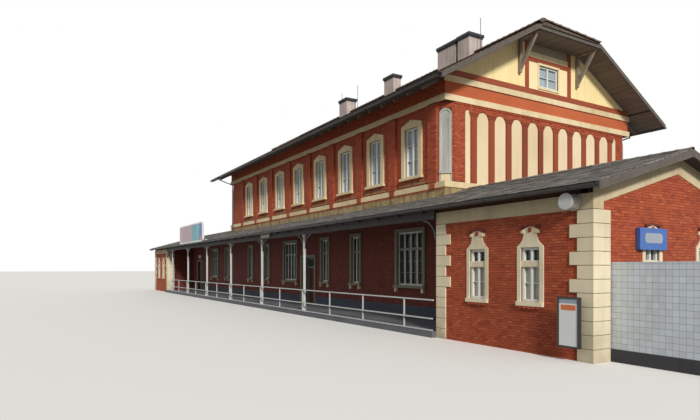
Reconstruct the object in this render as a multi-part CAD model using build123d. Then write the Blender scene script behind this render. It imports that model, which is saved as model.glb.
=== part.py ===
from build123d import *
import math
import os

# Railway station building, a 1:2 scale model in millimetres of the model.
# X runs along the platform, the platform side faces -Y, +Z is up, and the
# origin is the centre of the two-storey block's footprint at ground level.

# Two-storey brick block
BLOCK_LENGTH = 12900
BLOCK_DEPTH = 6000
BRICK_WALL = 250
FLOOR_TOP = 100
STOREY_TOP = 2750
STOREY_SLAB = 150
ATTIC_SLAB_BOTTOM = 4585
ATTIC_SLAB = 100

# Main roof with half-hips
EAVE_OVERHANG = 600
VERGE_OVERHANG = 600
EAVE_TOP_Z = 4710
RIDGE_Z = 6750
HALF_HIP_EAVE_Z = 6175
HALF_HIP_RUN = 730
ROOF_THICKNESS = 90
VERGE_BOARD_DEPTH = 100
VERGE_BOARD_THICKNESS = 25
GUTTER_RADIUS = 45
GUTTER_WALL = 6

# Bands of render and the courses that cross the walls
BAND_PROUD = 30
BELT_HEIGHT = 115
LOWER_BAND_Z = 4465
LOWER_BAND_HEIGHT = 120
UPPER_BAND_Z = 4840
UPPER_BAND_HEIGHT = 120
TIE_BEAM_HEIGHT = 120
CORNER_CHAMFER = 225

# Upper windows
UPPER_WINDOW_COUNT = 8
UPPER_WINDOW_PITCH = 1400
RIGHT_MARGIN = 1055
UPPER_WINDOW_WIDTH = 475
UPPER_WINDOW_SILL_Z = 3085
UPPER_WINDOW_HEIGHT = 1045
UPPER_SURROUND_SIDE = 115
UPPER_SHOULDER = 75
UPPER_CROWN = 155
SURROUND_PROUD = 35
SILL_HEIGHT = 55
SILL_PROUD = 75
SILL_EAR = 30
KEYSTONE_WIDTH = 90
KEYSTONE_TAPER = 15
KEYSTONE_RISE = 12
KEYSTONE_PROUD = 45
PILASTER_WIDTH = 270
PILASTER_PROUD = 45

# Ground floor windows under the canopy
GROUND_WINDOW_SILL_Z = 775
GROUND_WINDOW_HEIGHT = 1150
GROUND_WINDOW_WIDTH = 375
WIDE_WINDOW_WIDTH = 900
GROUND_SURROUND_SIDE = 80
LINK_WINDOW_INSETS = ((500, GROUND_WINDOW_WIDTH), (2175, WIDE_WINDOW_WIDTH))

# Window joinery
FRAME_DEPTH = 45
FRAME_SIDE = 32
MULLION = 30
REVEAL = 20
PANE_THICKNESS = 8

# Straight steps in which curves are drawn
ARC_STEP = 20
CURVE_STEPS = 4
ROUND_SIDES = 12
DRUM_SIDES = 24

# Gable dressing
PANEL_COUNT = 9
PANEL_PITCH = 500
PANEL_WIDTH = 310
PANEL_TOP_Z = 4335
PANEL_PROUD = 12
END_PANEL_WIDTH = 130
END_PANEL_PLACE = 2410
BOARDING_THICKNESS = 18
GABLE_POST_SPACING = 1400
GABLE_POST_WIDTH = 110
TIMBER_PROUD = 35
ATTIC_WINDOW_WIDTH = 625
ATTIC_WINDOW_HEIGHT = 480
ATTIC_WINDOW_Z = 5160
LINTEL_GAP = 45
LINTEL_HEIGHT = 90
RAKING_BOARD = 90
NICHE_MARGIN = 35
NICHE_FRAME = 37
NICHE_RECESS = 15
BRACKET_SPACING = 1900
BRACKET_TIMBER = 60
BRACKET_REACH = 560
BRACKET_DROP = 760

# Chimneys, each with its centre, length along the roof and depth
CHIMNEYS = ((-2390, 520, 400), (425, 500, 300), (3262, 725, 420), (3962, 425, 470))
CHIMNEY_TOP_Z = 7190
CAP_HEIGHT = 70
CAP_OVERHANG = 35
NECK_HEIGHT = 45
NECK_OVERHANG = 12
ROD_RADIUS = 8
ROD_TOP_Z = 7600
ROD_PLACES = (-2800, -1700, 4350)

# Low roofs of the canopy and the wings
LOW_ROOF_PITCH = 0.29
LOW_ROOF_WALL_Z = 2565
LOW_ROOF_EAVE = 1425
LOW_ROOF_RIDGE = 600
LOW_ROOF_THICKNESS = 60
LOW_VERGE = 175

# Veranda and canopy
COLONNADE = 1255
POST_RADIUS = 35
POST_PITCH = 2750
POST_COUNT = 6
FIRST_POST_X = 2750
BEAM_WIDTH = 90
BEAM_DEPTH = 170
BRACE_RADIUS = 330
BRACE_SECTION = 26
VERANDA_REACH = 1345
RAIL_SECTION = 22
RAIL_HEIGHTS = (22, 215, 520)
RAIL_POST_PITCH = 1375
RAIL_SETBACK = 25
LAMP_SIZE = (150, 60, 40)
LAMP_PITCH = 1400
LAMP_SETBACK = 620

# Wings
RIGHT_LINK = 1240
LEFT_LINK = 5700
PAVILION_LENGTH = 2900
WING_WALL = 175
WING_PROUD = 25
EAVE_BAND_Z = 1865
EAVE_BAND_HEIGHT = 190
QUOIN_ROW = 160
QUOIN_JOINT = 8
QUOIN_SHORT = 225
QUOIN_LONG = 335
LONG_QUOINS_FROM_TOP = (1, 3, 5)

# Windows of the wings with their ogee heads
WING_WINDOW_WIDTH = 320
WING_WINDOW_SILL_Z = 690
WING_WINDOW_HEIGHT = 740
OGEE_SIDE = 64
OGEE_PROUD = 15
OGEE_SILL_PROUD = 45
OGEE_SHOULDER = 10
OGEE_CAP = 35
OGEE_NECK_WIDTH = 215
OGEE_NECK_RISE = 175
OGEE_NECK_PULL = 70
OGEE_CROWN_WIDTH = 320
OGEE_CROWN_RISE = 95
WING_TRANSOM_Z = 1205
WING_TRANSOM = 85
TRANSOM_PROUD = 12
PAVILION_WINDOW_INSET = (935, 1935)
END_WINDOW_PLACES = (0, 1300)

# Doors, hinged into the rooms
DOOR_HEIGHT = 1350
HALL_DOOR_X = 450
HALL_DOOR_WIDTH = 800
WING_DOOR_INSET = 1150
WING_DOOR_WIDTH = 700
DOOR_FRAME_SIDE = 50
DOOR_FRAME_DEPTH = 90
DOOR_LIGHT = 300
LEAF_THICKNESS = 28
LEAF_STILE = 60
LEAF_PANELS = ((85, 400), (485, 975))
LEAF_EDGE_GAP = 7
LEAF_END_GAP = 8
HINGE_SEAT = 0.3
KNUCKLE_RADIUS = 5
KNUCKLE_HEIGHT = 30
HINGE_FLAP = (24, 3)
KNUCKLE_PLACES = (160, 890)
DOOR_SURROUND_SIDE = 80
PANEL_RECESS = 6

# Signs, lamp, poster case and yard wall
SIGN_BOARD = (3350, 60, 715)
SIGN_CORNER = 130
SIGN_PAST_BLOCK = 175
SIGN_FOOT = 30
SIGN_FOOT_REACH = 120
SIGN_FOOT_PLACES = (-1340, 0, 1340)
BLUE_BOX = (610, 45, 280)
BLUE_BOX_Z = 1525
BLUE_BOX_SHIFT = 65
YELLOW_BOARD = (110, 14, 450)
YELLOW_BOARD_Z = 1400
NAME_BOX = (600, 50, 120)
DOOR_PLATE = (430, 15, 150)
DRUM_RADIUS = 97
DRUM_LENGTH = 175
DRUM_RIM = 12
DRUM_INSET = 265
POSTER_CASE = (310, 50, 620)
POSTER_Z = 175
POSTER_RIM = 22
POSTER_RECESS = 12
POSTER_INSET = 245
POSTER_STANDOFF = 100
POSTER_ARM = 40
POSTER_ARM_SPACING = 370
YARD_WALL_LENGTH = 1825
YARD_WALL_TOP = 1215
YARD_PLINTH_TOP = 155
YARD_WALL_THICKNESS = 110
YARD_WALL_CLEARANCE = 5

# Places worked out from the driving dimensions
HALF_LENGTH = BLOCK_LENGTH / 2
HALF_DEPTH = BLOCK_DEPTH / 2
ROOF_HALF_LENGTH = HALF_LENGTH + VERGE_OVERHANG
ROOF_HALF_DEPTH = HALF_DEPTH + EAVE_OVERHANG
ROOF_PITCH = (RIDGE_Z - EAVE_TOP_Z) / ROOF_HALF_DEPTH
BELT_TOP = STOREY_TOP + BELT_HEIGHT
FACADE_Y = -HALF_DEPTH
COLONNADE_Y = FACADE_Y - COLONNADE
LOW_RIDGE_Y = FACADE_Y + LOW_ROOF_RIDGE
LOW_EAVE_Y = FACADE_Y - LOW_ROOF_EAVE
LOW_BACK_Y = 2 * LOW_RIDGE_Y - LOW_EAVE_Y
WING_BACK_Y = 2 * LOW_RIDGE_Y - COLONNADE_Y
RIGHT_PAVILION_X = HALF_LENGTH + RIGHT_LINK
LEFT_PAVILION_X = -HALF_LENGTH - LEFT_LINK
RIGHT_END = RIGHT_PAVILION_X + PAVILION_LENGTH
LEFT_END = LEFT_PAVILION_X - PAVILION_LENGTH
PIER = WING_WALL + WING_PROUD
HINGE_AXIS_PROUD = KNUCKLE_RADIUS + HINGE_SEAT
UPPER_WINDOWS = [HALF_LENGTH - RIGHT_MARGIN - i * UPPER_WINDOW_PITCH for i in range(UPPER_WINDOW_COUNT)]
GROUND_WINDOWS = ((5325, WIDE_WINDOW_WIDTH), (3100, GROUND_WINDOW_WIDTH), (1480, GROUND_WINDOW_WIDTH),
                  (-800, WIDE_WINDOW_WIDTH), (-2700, GROUND_WINDOW_WIDTH), (-4250, GROUND_WINDOW_WIDTH))
LINK_WINDOWS = tuple((-HALF_LENGTH - inset, width) for inset, width in LINK_WINDOW_INSETS)
WING_DOOR_X = LEFT_PAVILION_X + WING_DOOR_INSET
STREET_DOOR_X = UPPER_WINDOWS[3]
STREET_WINDOWS = [x for x in UPPER_WINDOWS if x != STREET_DOOR_X]
POSTS = [FIRST_POST_X - i * POST_PITCH for i in range(POST_COUNT)]


def block(x0, x1, y0, y1, z0, z1):
    """A box between two corners."""
    centre = Pos((x0 + x1) / 2, (y0 + y1) / 2, (z0 + z1) / 2)
    return centre * Box(abs(x1 - x0), abs(y1 - y0), abs(z1 - z0))


def section_yz(points, x0, x1):
    """A profile in the YZ plane, drawn out from x0 to x1."""
    face = make_face(Polyline(*points, close=True))
    return extrude(Plane.YZ.offset(x0) * face, amount=x1 - x0)


def facade_plate(face, front, depth):
    """A face drawn on the facade (X across, Z up), from y = front inwards by depth."""
    plane = Plane(origin=(0, front + depth, 0), x_dir=(1, 0, 0), z_dir=(0, -1, 0))
    return extrude(plane * face, amount=depth)


def rectangle(width, z0, z1):
    """A facade face centred on x = 0 between two heights."""
    half = width / 2
    return make_face(Polyline((-half, z0), (half, z0), (half, z1), (-half, z1), close=True))


def arc(centre, radius, start, end):
    """Points of an arc between two angles in degrees."""
    steps = math.ceil(abs(end - start) / ARC_STEP)
    angles = [math.radians(start + (end - start) * i / steps) for i in range(steps + 1)]
    return [(centre[0] + radius * math.cos(a), centre[1] + radius * math.sin(a)) for a in angles]


def bow(start, pull, end):
    """Points of a curve that leaves start towards the point pull and comes to end from it."""
    points = []
    for i in range(CURVE_STEPS + 1):
        t = i / CURVE_STEPS
        weights = ((1 - t) ** 2, 2 * t * (1 - t), t ** 2)
        points.append(tuple(sum(w * p[k] for w, p in zip(weights, (start, pull, end))) for k in (0, 1)))
    return points


def arched(width, z0, spring_z, crown_z):
    """A facade face with a segmental arch for its top."""
    half = width / 2
    rise = crown_z - spring_z
    radius = (half ** 2 + rise ** 2) / (2 * rise)
    reach = math.degrees(math.acos(1 - rise / radius))
    top = arc((0, crown_z - radius), radius, 90 - reach, 90 + reach)
    return make_face(Polyline((-half, z0), (half, z0), *top, close=True))


def round_bar(radius, height, sides=ROUND_SIDES):
    """An upright round bar about the origin."""
    return extrude(RegularPolygon(radius, sides), amount=height / 2, both=True)


def on_platform(shape, x, y=FACADE_Y):
    """Places a piece drawn at the origin on a wall that faces the platform."""
    return Pos(x, y, 0) * shape


def on_street(shape, x, y=HALF_DEPTH):
    """Places a piece drawn at the origin on a wall that faces the street."""
    return Pos(x, y, 0) * Rot(0, 0, 180) * shape


def on_right(shape, y, x=HALF_LENGTH):
    """Places a piece drawn at the origin on a wall that faces +X."""
    return Pos(x, y, 0) * Rot(0, 0, 90) * shape


def on_left(shape, y, x=-HALF_LENGTH):
    """Places a piece drawn at the origin on a wall that faces -X."""
    return Pos(x, y, 0) * Rot(0, 0, -90) * shape


def save(name, *shapes):
    """Writes the solids of one node."""
    solids = [solid for shape in shapes for solid in shape.solids()]
    export_step(solids[0] if len(solids) == 1 else Compound(children=solids), f"parts/{name}.step")


# Main roof

def roof_prism(drop):
    """What lies below the two main slopes when they are lowered by drop."""
    return section_yz([(-ROOF_HALF_DEPTH, 0), (ROOF_HALF_DEPTH, 0), (ROOF_HALF_DEPTH, EAVE_TOP_Z - drop),
                       (0, RIDGE_Z - drop), (-ROOF_HALF_DEPTH, EAVE_TOP_Z - drop)],
                      -ROOF_HALF_LENGTH, ROOF_HALF_LENGTH)


def hip_prism(drop):
    """What lies below the two half-hips when they are lowered by drop."""
    inner = ROOF_HALF_LENGTH - HALF_HIP_RUN
    face = make_face(Polyline((-ROOF_HALF_LENGTH, 0), (ROOF_HALF_LENGTH, 0),
                              (ROOF_HALF_LENGTH, HALF_HIP_EAVE_Z - drop), (inner, RIDGE_Z - drop),
                              (-inner, RIDGE_Z - drop), (-ROOF_HALF_LENGTH, HALF_HIP_EAVE_Z - drop),
                              close=True))
    return facade_plate(face, -ROOF_HALF_DEPTH, 2 * ROOF_HALF_DEPTH)


def under_roof(below=0):
    """The space below the underside of the whole main roof, or further below it."""
    return roof_prism(ROOF_THICKNESS + below) & hip_prism(ROOF_THICKNESS + below)


def main_roof():
    """The two main slopes and the two half-hips that close their ends."""
    below_hips = roof_prism(0) & hip_prism(0)
    slopes = below_hips - roof_prism(ROOF_THICKNESS)
    platform_half = block(-ROOF_HALF_LENGTH, ROOF_HALF_LENGTH, -ROOF_HALF_DEPTH, 0, 0, RIDGE_Z)
    street_half = block(-ROOF_HALF_LENGTH, ROOF_HALF_LENGTH, 0, ROOF_HALF_DEPTH, 0, RIDGE_Z)
    hips = (below_hips & roof_prism(ROOF_THICKNESS)) - hip_prism(ROOF_THICKNESS)
    save("platform_roof_slope", slopes & platform_half)
    save("street_roof_slope", slopes & street_half)
    save("half_hips", hips)


def verge_board(line, x0, x1):
    """A board that follows a roof's edge line, given from one eave to the other."""
    lower = [(y, z - VERGE_BOARD_DEPTH) for y, z in reversed(line)]
    return section_yz([*line, *lower], x0, x1)


def verge_boards():
    """Boards along the edges of the main roof and of the wing roofs."""
    hip_y = (RIDGE_Z - HALF_HIP_EAVE_Z) / ROOF_PITCH
    main = [(-ROOF_HALF_DEPTH, EAVE_TOP_Z), (-hip_y, HALF_HIP_EAVE_Z), (hip_y, HALF_HIP_EAVE_Z),
            (ROOF_HALF_DEPTH, EAVE_TOP_Z)]
    low = [(y, low_roof_height(y)) for y in (LOW_EAVE_Y, LOW_RIDGE_Y, LOW_BACK_Y)]
    board = VERGE_BOARD_THICKNESS
    right = RIGHT_END + LOW_VERGE
    left = LEFT_END - LOW_VERGE
    save("verge_boards", verge_board(main, ROOF_HALF_LENGTH, ROOF_HALF_LENGTH + board),
         verge_board(main, -ROOF_HALF_LENGTH - board, -ROOF_HALF_LENGTH),
         verge_board(low, right, right + board), verge_board(low, left - board, left))


def roof_height(y):
    """Height of the main roof's top surface over a line along the building."""
    return RIDGE_Z - ROOF_PITCH * abs(y)


# Walls of the two-storey block

def cut_row(wall, face, places, place):
    """Cuts one opening shape through a wall at each place."""
    cutter = facade_plate(face, -BRICK_WALL, 3 * BRICK_WALL)
    for x in places:
        wall -= place(cutter, x)
    return wall


def upper_opening():
    """The straight hole of an upper window."""
    return rectangle(UPPER_WINDOW_WIDTH, UPPER_WINDOW_SILL_Z, UPPER_WINDOW_SILL_Z + UPPER_WINDOW_HEIGHT)


def ground_opening(width):
    """The straight hole of a ground floor window."""
    return rectangle(width, GROUND_WINDOW_SILL_Z, GROUND_WINDOW_SILL_Z + GROUND_WINDOW_HEIGHT)


def platform_walls():
    """The platform side: split beside and over the hall door below, one wall above."""
    inner = HALF_LENGTH - BRICK_WALL
    door0 = HALL_DOOR_X - HALL_DOOR_WIDTH / 2
    door1 = HALL_DOOR_X + HALL_DOOR_WIDTH / 2
    back = FACADE_Y + BRICK_WALL
    left = block(-inner, door0, FACADE_Y, back, 0, STOREY_TOP)
    right = block(door1, inner, FACADE_Y, back, 0, STOREY_TOP)
    for x, width in GROUND_WINDOWS:
        if x < HALL_DOOR_X:
            left = cut_row(left, ground_opening(width), [x], on_platform)
        else:
            right = cut_row(right, ground_opening(width), [x], on_platform)
    upper = block(-inner, inner, FACADE_Y, back, STOREY_TOP, RIDGE_Z) & under_roof()
    save("platform_wall_left", left)
    save("platform_wall_right", right)
    save("platform_wall_upper", cut_row(upper, upper_opening(), UPPER_WINDOWS, on_platform))


def street_walls():
    """The street side repeats the platform side, with a closed door below the fourth window."""
    inner = HALF_LENGTH - BRICK_WALL
    back = HALF_DEPTH - BRICK_WALL
    lower = block(-inner, inner, back, HALF_DEPTH, 0, STOREY_TOP)
    lower = cut_row(lower, ground_opening(GROUND_WINDOW_WIDTH), STREET_WINDOWS, on_street)
    door_face = rectangle(HALL_DOOR_WIDTH, FLOOR_TOP, FLOOR_TOP + DOOR_HEIGHT)
    lower = cut_row(lower, door_face, [STREET_DOOR_X], on_street)
    upper = block(-inner, inner, back, HALF_DEPTH, STOREY_TOP, RIDGE_Z) & under_roof()
    save("street_wall_ground", lower)
    save("street_wall_upper", cut_row(upper, upper_opening(), UPPER_WINDOWS, on_street))


def corner_cut(x, y):
    """The wedge that chamfers one upper corner of the block."""
    sx = math.copysign(1, x)
    sy = math.copysign(1, y)
    face = make_face(Polyline((x, y), (x - sx * CORNER_CHAMFER, y), (x, y - sy * CORNER_CHAMFER), close=True))
    return extrude(Pos(0, 0, BELT_TOP) * face, amount=LOWER_BAND_Z - BELT_TOP, dir=(0, 0, 1))


def gable_walls():
    """Both gable walls, chamfered at the corners of the upper storey, with the attic window."""
    for side, place, name in ((1, on_right, "right_gable_wall"), (-1, on_left, "left_gable_wall")):
        outer = side * HALF_LENGTH
        wall = block(outer - side * BRICK_WALL, outer, -HALF_DEPTH, HALF_DEPTH, 0, RIDGE_Z) & under_roof()
        wall -= corner_cut(outer, -HALF_DEPTH)
        wall -= corner_cut(outer, HALF_DEPTH)
        attic = rectangle(ATTIC_WINDOW_WIDTH, ATTIC_WINDOW_Z, ATTIC_WINDOW_Z + ATTIC_WINDOW_HEIGHT)
        save(name, cut_row(wall, attic, [0], place))


def floors():
    """Ground, upper and attic floors between the walls."""
    x = HALF_LENGTH - BRICK_WALL
    y = HALF_DEPTH - BRICK_WALL
    save("ground_floor", block(-x, x, -y, y, 0, FLOOR_TOP))
    save("upper_floor", block(-x, x, -y, y, STOREY_TOP - STOREY_SLAB, STOREY_TOP))
    save("attic_floor", block(-x, x, -y, y, ATTIC_SLAB_BOTTOM, ATTIC_SLAB_BOTTOM + ATTIC_SLAB))


# Dressing of the two-storey block

def bay_edges():
    """Pilaster centres between the upper windows, and one past each end window."""
    half = UPPER_WINDOW_PITCH / 2
    return [x - half for x in UPPER_WINDOWS] + [UPPER_WINDOWS[0] + half]


def pilasters():
    """Brick pilasters between the upper windows of both long sides."""
    shape = block(-PILASTER_WIDTH / 2, PILASTER_WIDTH / 2, -PILASTER_PROUD, 0, BELT_TOP, LOWER_BAND_Z)
    row = bay_edges()
    save("brick_pilasters", *[on_platform(shape, x) for x in row], *[on_street(shape, x) for x in row])


def long_band(z0, height, place):
    """A band along one long side of the block."""
    return place(block(-HALF_LENGTH, HALF_LENGTH, -BAND_PROUD, 0, z0, z0 + height), 0)


def gable_band(z0, height, place):
    """A band across one gable, past the corners by its own projection."""
    reach = HALF_DEPTH + BAND_PROUD
    return place(block(-reach, reach, -BAND_PROUD, 0, z0, z0 + height), 0)


def bands():
    """Cream belt course and cornice bands round the block."""
    pieces = []
    for place in (on_platform, on_street):
        pieces.append(long_band(STOREY_TOP, BELT_HEIGHT, place))
        pieces.append(long_band(LOWER_BAND_Z, LOWER_BAND_HEIGHT, place))
    for place in (on_right, on_left):
        pieces.append(gable_band(STOREY_TOP, BELT_HEIGHT, place))
        pieces.append(gable_band(LOWER_BAND_Z, LOWER_BAND_HEIGHT, place))
        pieces.append(gable_band(UPPER_BAND_Z, UPPER_BAND_HEIGHT, place))
    save("belt_course", *[p for p in pieces if p.bounding_box().max.Z < LOWER_BAND_Z])
    space = under_roof()
    save("cornice_bands", *[p & space for p in pieces if p.bounding_box().max.Z > LOWER_BAND_Z])


def arched_panels():
    """Cream blind panels with arched heads between the brick strips of the gables, narrower at the ends."""
    row = [((i - (PANEL_COUNT - 1) / 2) * PANEL_PITCH, PANEL_WIDTH) for i in range(PANEL_COUNT)]
    row += [(-END_PANEL_PLACE, END_PANEL_WIDTH), (END_PANEL_PLACE, END_PANEL_WIDTH)]
    panels = []
    for y, width in row:
        face = arched(width, BELT_TOP, PANEL_TOP_Z - width / 2, PANEL_TOP_Z)
        panel = facade_plate(face, -PANEL_PROUD, PANEL_PROUD)
        panels += [on_right(panel, y), on_left(panel, y)]
    save("arched_panels", *panels)


def gable_timbers():
    """Tie beam, posts and lintel on each gable, with boarding between and raking boards above."""
    tie_z = UPPER_BAND_Z + UPPER_BAND_HEIGHT
    board_z = tie_z + TIE_BEAM_HEIGHT
    window_top = ATTIC_WINDOW_Z + ATTIC_WINDOW_HEIGHT
    lintel_z = window_top + LINTEL_GAP
    space = under_roof()
    lower_space = under_roof(RAKING_BOARD)
    timbers = []
    boards = []
    for place in (on_right, on_left):
        frame = place(block(-HALF_DEPTH, HALF_DEPTH, -TIMBER_PROUD, 0, tie_z, board_z), 0)
        for side in (-1, 1):
            y = side * GABLE_POST_SPACING / 2
            frame += place(block(y - GABLE_POST_WIDTH / 2, y + GABLE_POST_WIDTH / 2, -TIMBER_PROUD, 0,
                                 board_z, RIDGE_Z), 0)
        frame += place(block(-GABLE_POST_SPACING / 2, GABLE_POST_SPACING / 2, -TIMBER_PROUD, 0,
                             lintel_z, lintel_z + LINTEL_HEIGHT), 0)
        frame = frame & space
        cladding = place(block(-HALF_DEPTH, HALF_DEPTH, -BOARDING_THICKNESS, 0, board_z, RIDGE_Z), 0) & space
        window = rectangle(ATTIC_WINDOW_WIDTH, ATTIC_WINDOW_Z, window_top)
        cladding = cladding - frame - place(facade_plate(window, -BRICK_WALL, 2 * BRICK_WALL), 0)
        raking = place(block(-HALF_DEPTH, HALF_DEPTH, -TIMBER_PROUD, -BOARDING_THICKNESS,
                             board_z, RIDGE_Z), 0)
        timbers.append(frame)
        boards.append(cladding)
        boards.append((raking & space) - lower_space - frame)
    save("gable_timbers", *timbers)
    save("gable_boarding", *boards)


def gable_brackets():
    """Triangular timber brackets that carry the verges beside the half-hips."""
    top = roof_height(BRACKET_SPACING / 2 + BRACKET_TIMBER / 2) - ROOF_THICKNESS
    foot = top - BRACKET_DROP
    half = BRACKET_TIMBER / 2
    post = block(-half, half, -TIMBER_PROUD - BRACKET_TIMBER, -TIMBER_PROUD, foot, top)
    beam = block(-half, half, -BRACKET_REACH, -TIMBER_PROUD - BRACKET_TIMBER, top - BRACKET_TIMBER, top)
    strut_face = make_face(Polyline((-TIMBER_PROUD - BRACKET_TIMBER, foot + BRACKET_TIMBER),
                                    (-TIMBER_PROUD - BRACKET_TIMBER, foot + 3 * BRACKET_TIMBER),
                                    (-BRACKET_REACH + 2 * BRACKET_TIMBER, top - BRACKET_TIMBER),
                                    (-BRACKET_REACH + BRACKET_TIMBER / 2, top - BRACKET_TIMBER), close=True))
    strut = extrude(Plane.YZ.offset(-half) * strut_face, amount=BRACKET_TIMBER)
    bracket = post + beam + strut
    places = (-BRACKET_SPACING / 2, BRACKET_SPACING / 2)
    save("gable_brackets", *[on_right(bracket, y) for y in places], *[on_left(bracket, y) for y in places])


def corner_niches():
    """Narrow arched niches on the chamfered corners of the upper storey."""
    width = CORNER_CHAMFER * math.sqrt(2) - 2 * NICHE_MARGIN
    spring = PANEL_TOP_Z - width / 2
    plate = facade_plate(arched(width, BELT_TOP, spring, PANEL_TOP_Z), -BAND_PROUD, BAND_PROUD)
    pocket_width = width - 2 * NICHE_FRAME
    pocket = arched(pocket_width, UPPER_WINDOW_SILL_Z, spring, spring + pocket_width / 2)
    plate -= facade_plate(pocket, -BAND_PROUD, NICHE_RECESS)
    sill = block(-width / 2, width / 2, -2 * BAND_PROUD, -BAND_PROUD,
                 UPPER_WINDOW_SILL_Z - SILL_HEIGHT, UPPER_WINDOW_SILL_Z)
    niche = plate + sill
    inset = CORNER_CHAMFER / 2
    pieces = []
    for sx, sy, turn in ((1, -1, 45), (1, 1, 135), (-1, 1, 225), (-1, -1, -45)):
        place = Pos(sx * (HALF_LENGTH - inset), sy * (HALF_DEPTH - inset), 0) * Rot(0, 0, turn)
        pieces.append(place * niche)
    save("corner_niches", *pieces)


# Windows

def surround(opening, outer, sill_width, sill_z, proud=SURROUND_PROUD, sill_proud=SILL_PROUD):
    """A flat rendered surround with a sill that stands further out."""
    ring = facade_plate(outer - opening, -proud, proud)
    sill = block(-sill_width / 2, sill_width / 2, -sill_proud, 0, sill_z - SILL_HEIGHT, sill_z)
    return ring + sill


def upper_surround():
    """Surround of an upper window: a straight head under an arched top with a keystone, and a sill."""
    head = UPPER_WINDOW_SILL_Z + UPPER_WINDOW_HEIGHT
    crown = head + UPPER_CROWN
    width = UPPER_WINDOW_WIDTH + 2 * UPPER_SURROUND_SIDE
    outer = arched(width, UPPER_WINDOW_SILL_Z, head + UPPER_SHOULDER, crown)
    ring = surround(upper_opening(), outer, width + 2 * SILL_EAR, UPPER_WINDOW_SILL_Z)
    half = KEYSTONE_WIDTH / 2
    foot = half - KEYSTONE_TAPER
    key = make_face(Polyline((-foot, head), (foot, head), (half, crown + KEYSTONE_RISE),
                             (-half, crown + KEYSTONE_RISE), close=True))
    return ring + facade_plate(key, -KEYSTONE_PROUD, KEYSTONE_PROUD)


def ground_surround(width):
    """Plain straight surround of a ground floor window."""
    outer_width = width + 2 * GROUND_SURROUND_SIDE
    top = GROUND_WINDOW_SILL_Z + GROUND_WINDOW_HEIGHT + GROUND_SURROUND_SIDE
    outer = rectangle(outer_width, GROUND_WINDOW_SILL_Z, top)
    return surround(ground_opening(width), outer, outer_width + SILL_EAR, GROUND_WINDOW_SILL_Z)


def door_surround(width):
    """Plain surround of a doorway, standing on the floor."""
    top = FLOOR_TOP + DOOR_HEIGHT
    outer = rectangle(width + 2 * DOOR_SURROUND_SIDE, FLOOR_TOP, top + DOOR_SURROUND_SIDE)
    return facade_plate(outer - rectangle(width, FLOOR_TOP, top), -SURROUND_PROUD, SURROUND_PROUD)


def ogee_outline():
    """Outline of a wing window's surround: shoulders that bow in to a neck, and a round crown on a cap."""
    half = WING_WINDOW_WIDTH / 2 + OGEE_SIDE
    neck = OGEE_NECK_WIDTH / 2
    cap = OGEE_CROWN_WIDTH / 2
    shoulder = WING_WINDOW_SILL_Z + WING_WINDOW_HEIGHT + OGEE_SHOULDER
    neck_top = shoulder + OGEE_NECK_RISE
    crown = neck_top + OGEE_CROWN_RISE
    flank = bow((half, shoulder), (neck, shoulder + OGEE_NECK_PULL), (neck, neck_top))
    hump = bow((cap, neck_top + OGEE_CAP), (neck / 2, crown), (0, crown))
    right = [(half, WING_WINDOW_SILL_Z), *flank, (cap, neck_top), *hump]
    left = [(-x, z) for x, z in reversed(right[:-1])]
    return make_face(Polyline(*right, *left, close=True))


def ogee_surround():
    """Surround of a wing window with its sill."""
    opening = rectangle(WING_WINDOW_WIDTH, WING_WINDOW_SILL_Z, WING_WINDOW_SILL_Z + WING_WINDOW_HEIGHT)
    width = WING_WINDOW_WIDTH + 2 * OGEE_SIDE
    return surround(opening, ogee_outline(), width, WING_WINDOW_SILL_Z, OGEE_PROUD, OGEE_SILL_PROUD)


def window_frame(width, z0, z1, uprights):
    """Frame in the reveal with its mullions."""
    light = (width - 2 * FRAME_SIDE - uprights * MULLION) / (uprights + 1)
    frame = facade_plate(rectangle(width, z0, z1), REVEAL, FRAME_DEPTH)
    for i in range(uprights + 1):
        left = -width / 2 + FRAME_SIDE + i * (light + MULLION)
        frame -= block(left, left + light, REVEAL, REVEAL + FRAME_DEPTH, z0 + FRAME_SIDE, z1 - FRAME_SIDE)
    return frame


def pane(opening):
    """One sheet of glass behind the frame of a window."""
    return facade_plate(opening, REVEAL + FRAME_DEPTH, PANE_THICKNESS)


def window_list():
    """Every window as its opening, its surround and frame, and where it stands."""
    head = UPPER_WINDOW_SILL_Z + UPPER_WINDOW_HEIGHT
    upper_frame = window_frame(UPPER_WINDOW_WIDTH, UPPER_WINDOW_SILL_Z, head, 1)
    upper = (upper_opening(), upper_surround(), upper_frame)
    ground_top = GROUND_WINDOW_SILL_Z + GROUND_WINDOW_HEIGHT
    kinds = {}
    for width, uprights in ((GROUND_WINDOW_WIDTH, 1), (WIDE_WINDOW_WIDTH, 3)):
        frame = window_frame(width, GROUND_WINDOW_SILL_Z, ground_top, uprights)
        kinds[width] = (ground_opening(width), ground_surround(width), frame)
    placed = [(upper, on_platform, x, FACADE_Y) for x in UPPER_WINDOWS]
    placed += [(upper, on_street, x, HALF_DEPTH) for x in UPPER_WINDOWS]
    placed += [(kinds[width], on_platform, x, FACADE_Y) for x, width in GROUND_WINDOWS + LINK_WINDOWS]
    placed += [(kinds[GROUND_WINDOW_WIDTH], on_street, x, HALF_DEPTH) for x in STREET_WINDOWS]
    return placed


def wing_window_list():
    """Windows of the pavilions: two to the platform, two in the end and one to the street."""
    places = []
    for start, end in ((RIGHT_PAVILION_X, RIGHT_END), (LEFT_PAVILION_X, LEFT_END)):
        side = math.copysign(1, end)
        for inset in PAVILION_WINDOW_INSET:
            places.append((on_platform, start + side * inset, COLONNADE_Y + WING_PROUD))
            places.append((on_street, start + side * inset, WING_BACK_Y - WING_PROUD))
        for y in END_WINDOW_PLACES:
            place = on_right if side > 0 else on_left
            places.append((place, FACADE_Y + y, end - side * WING_PROUD))
    return places


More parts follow.
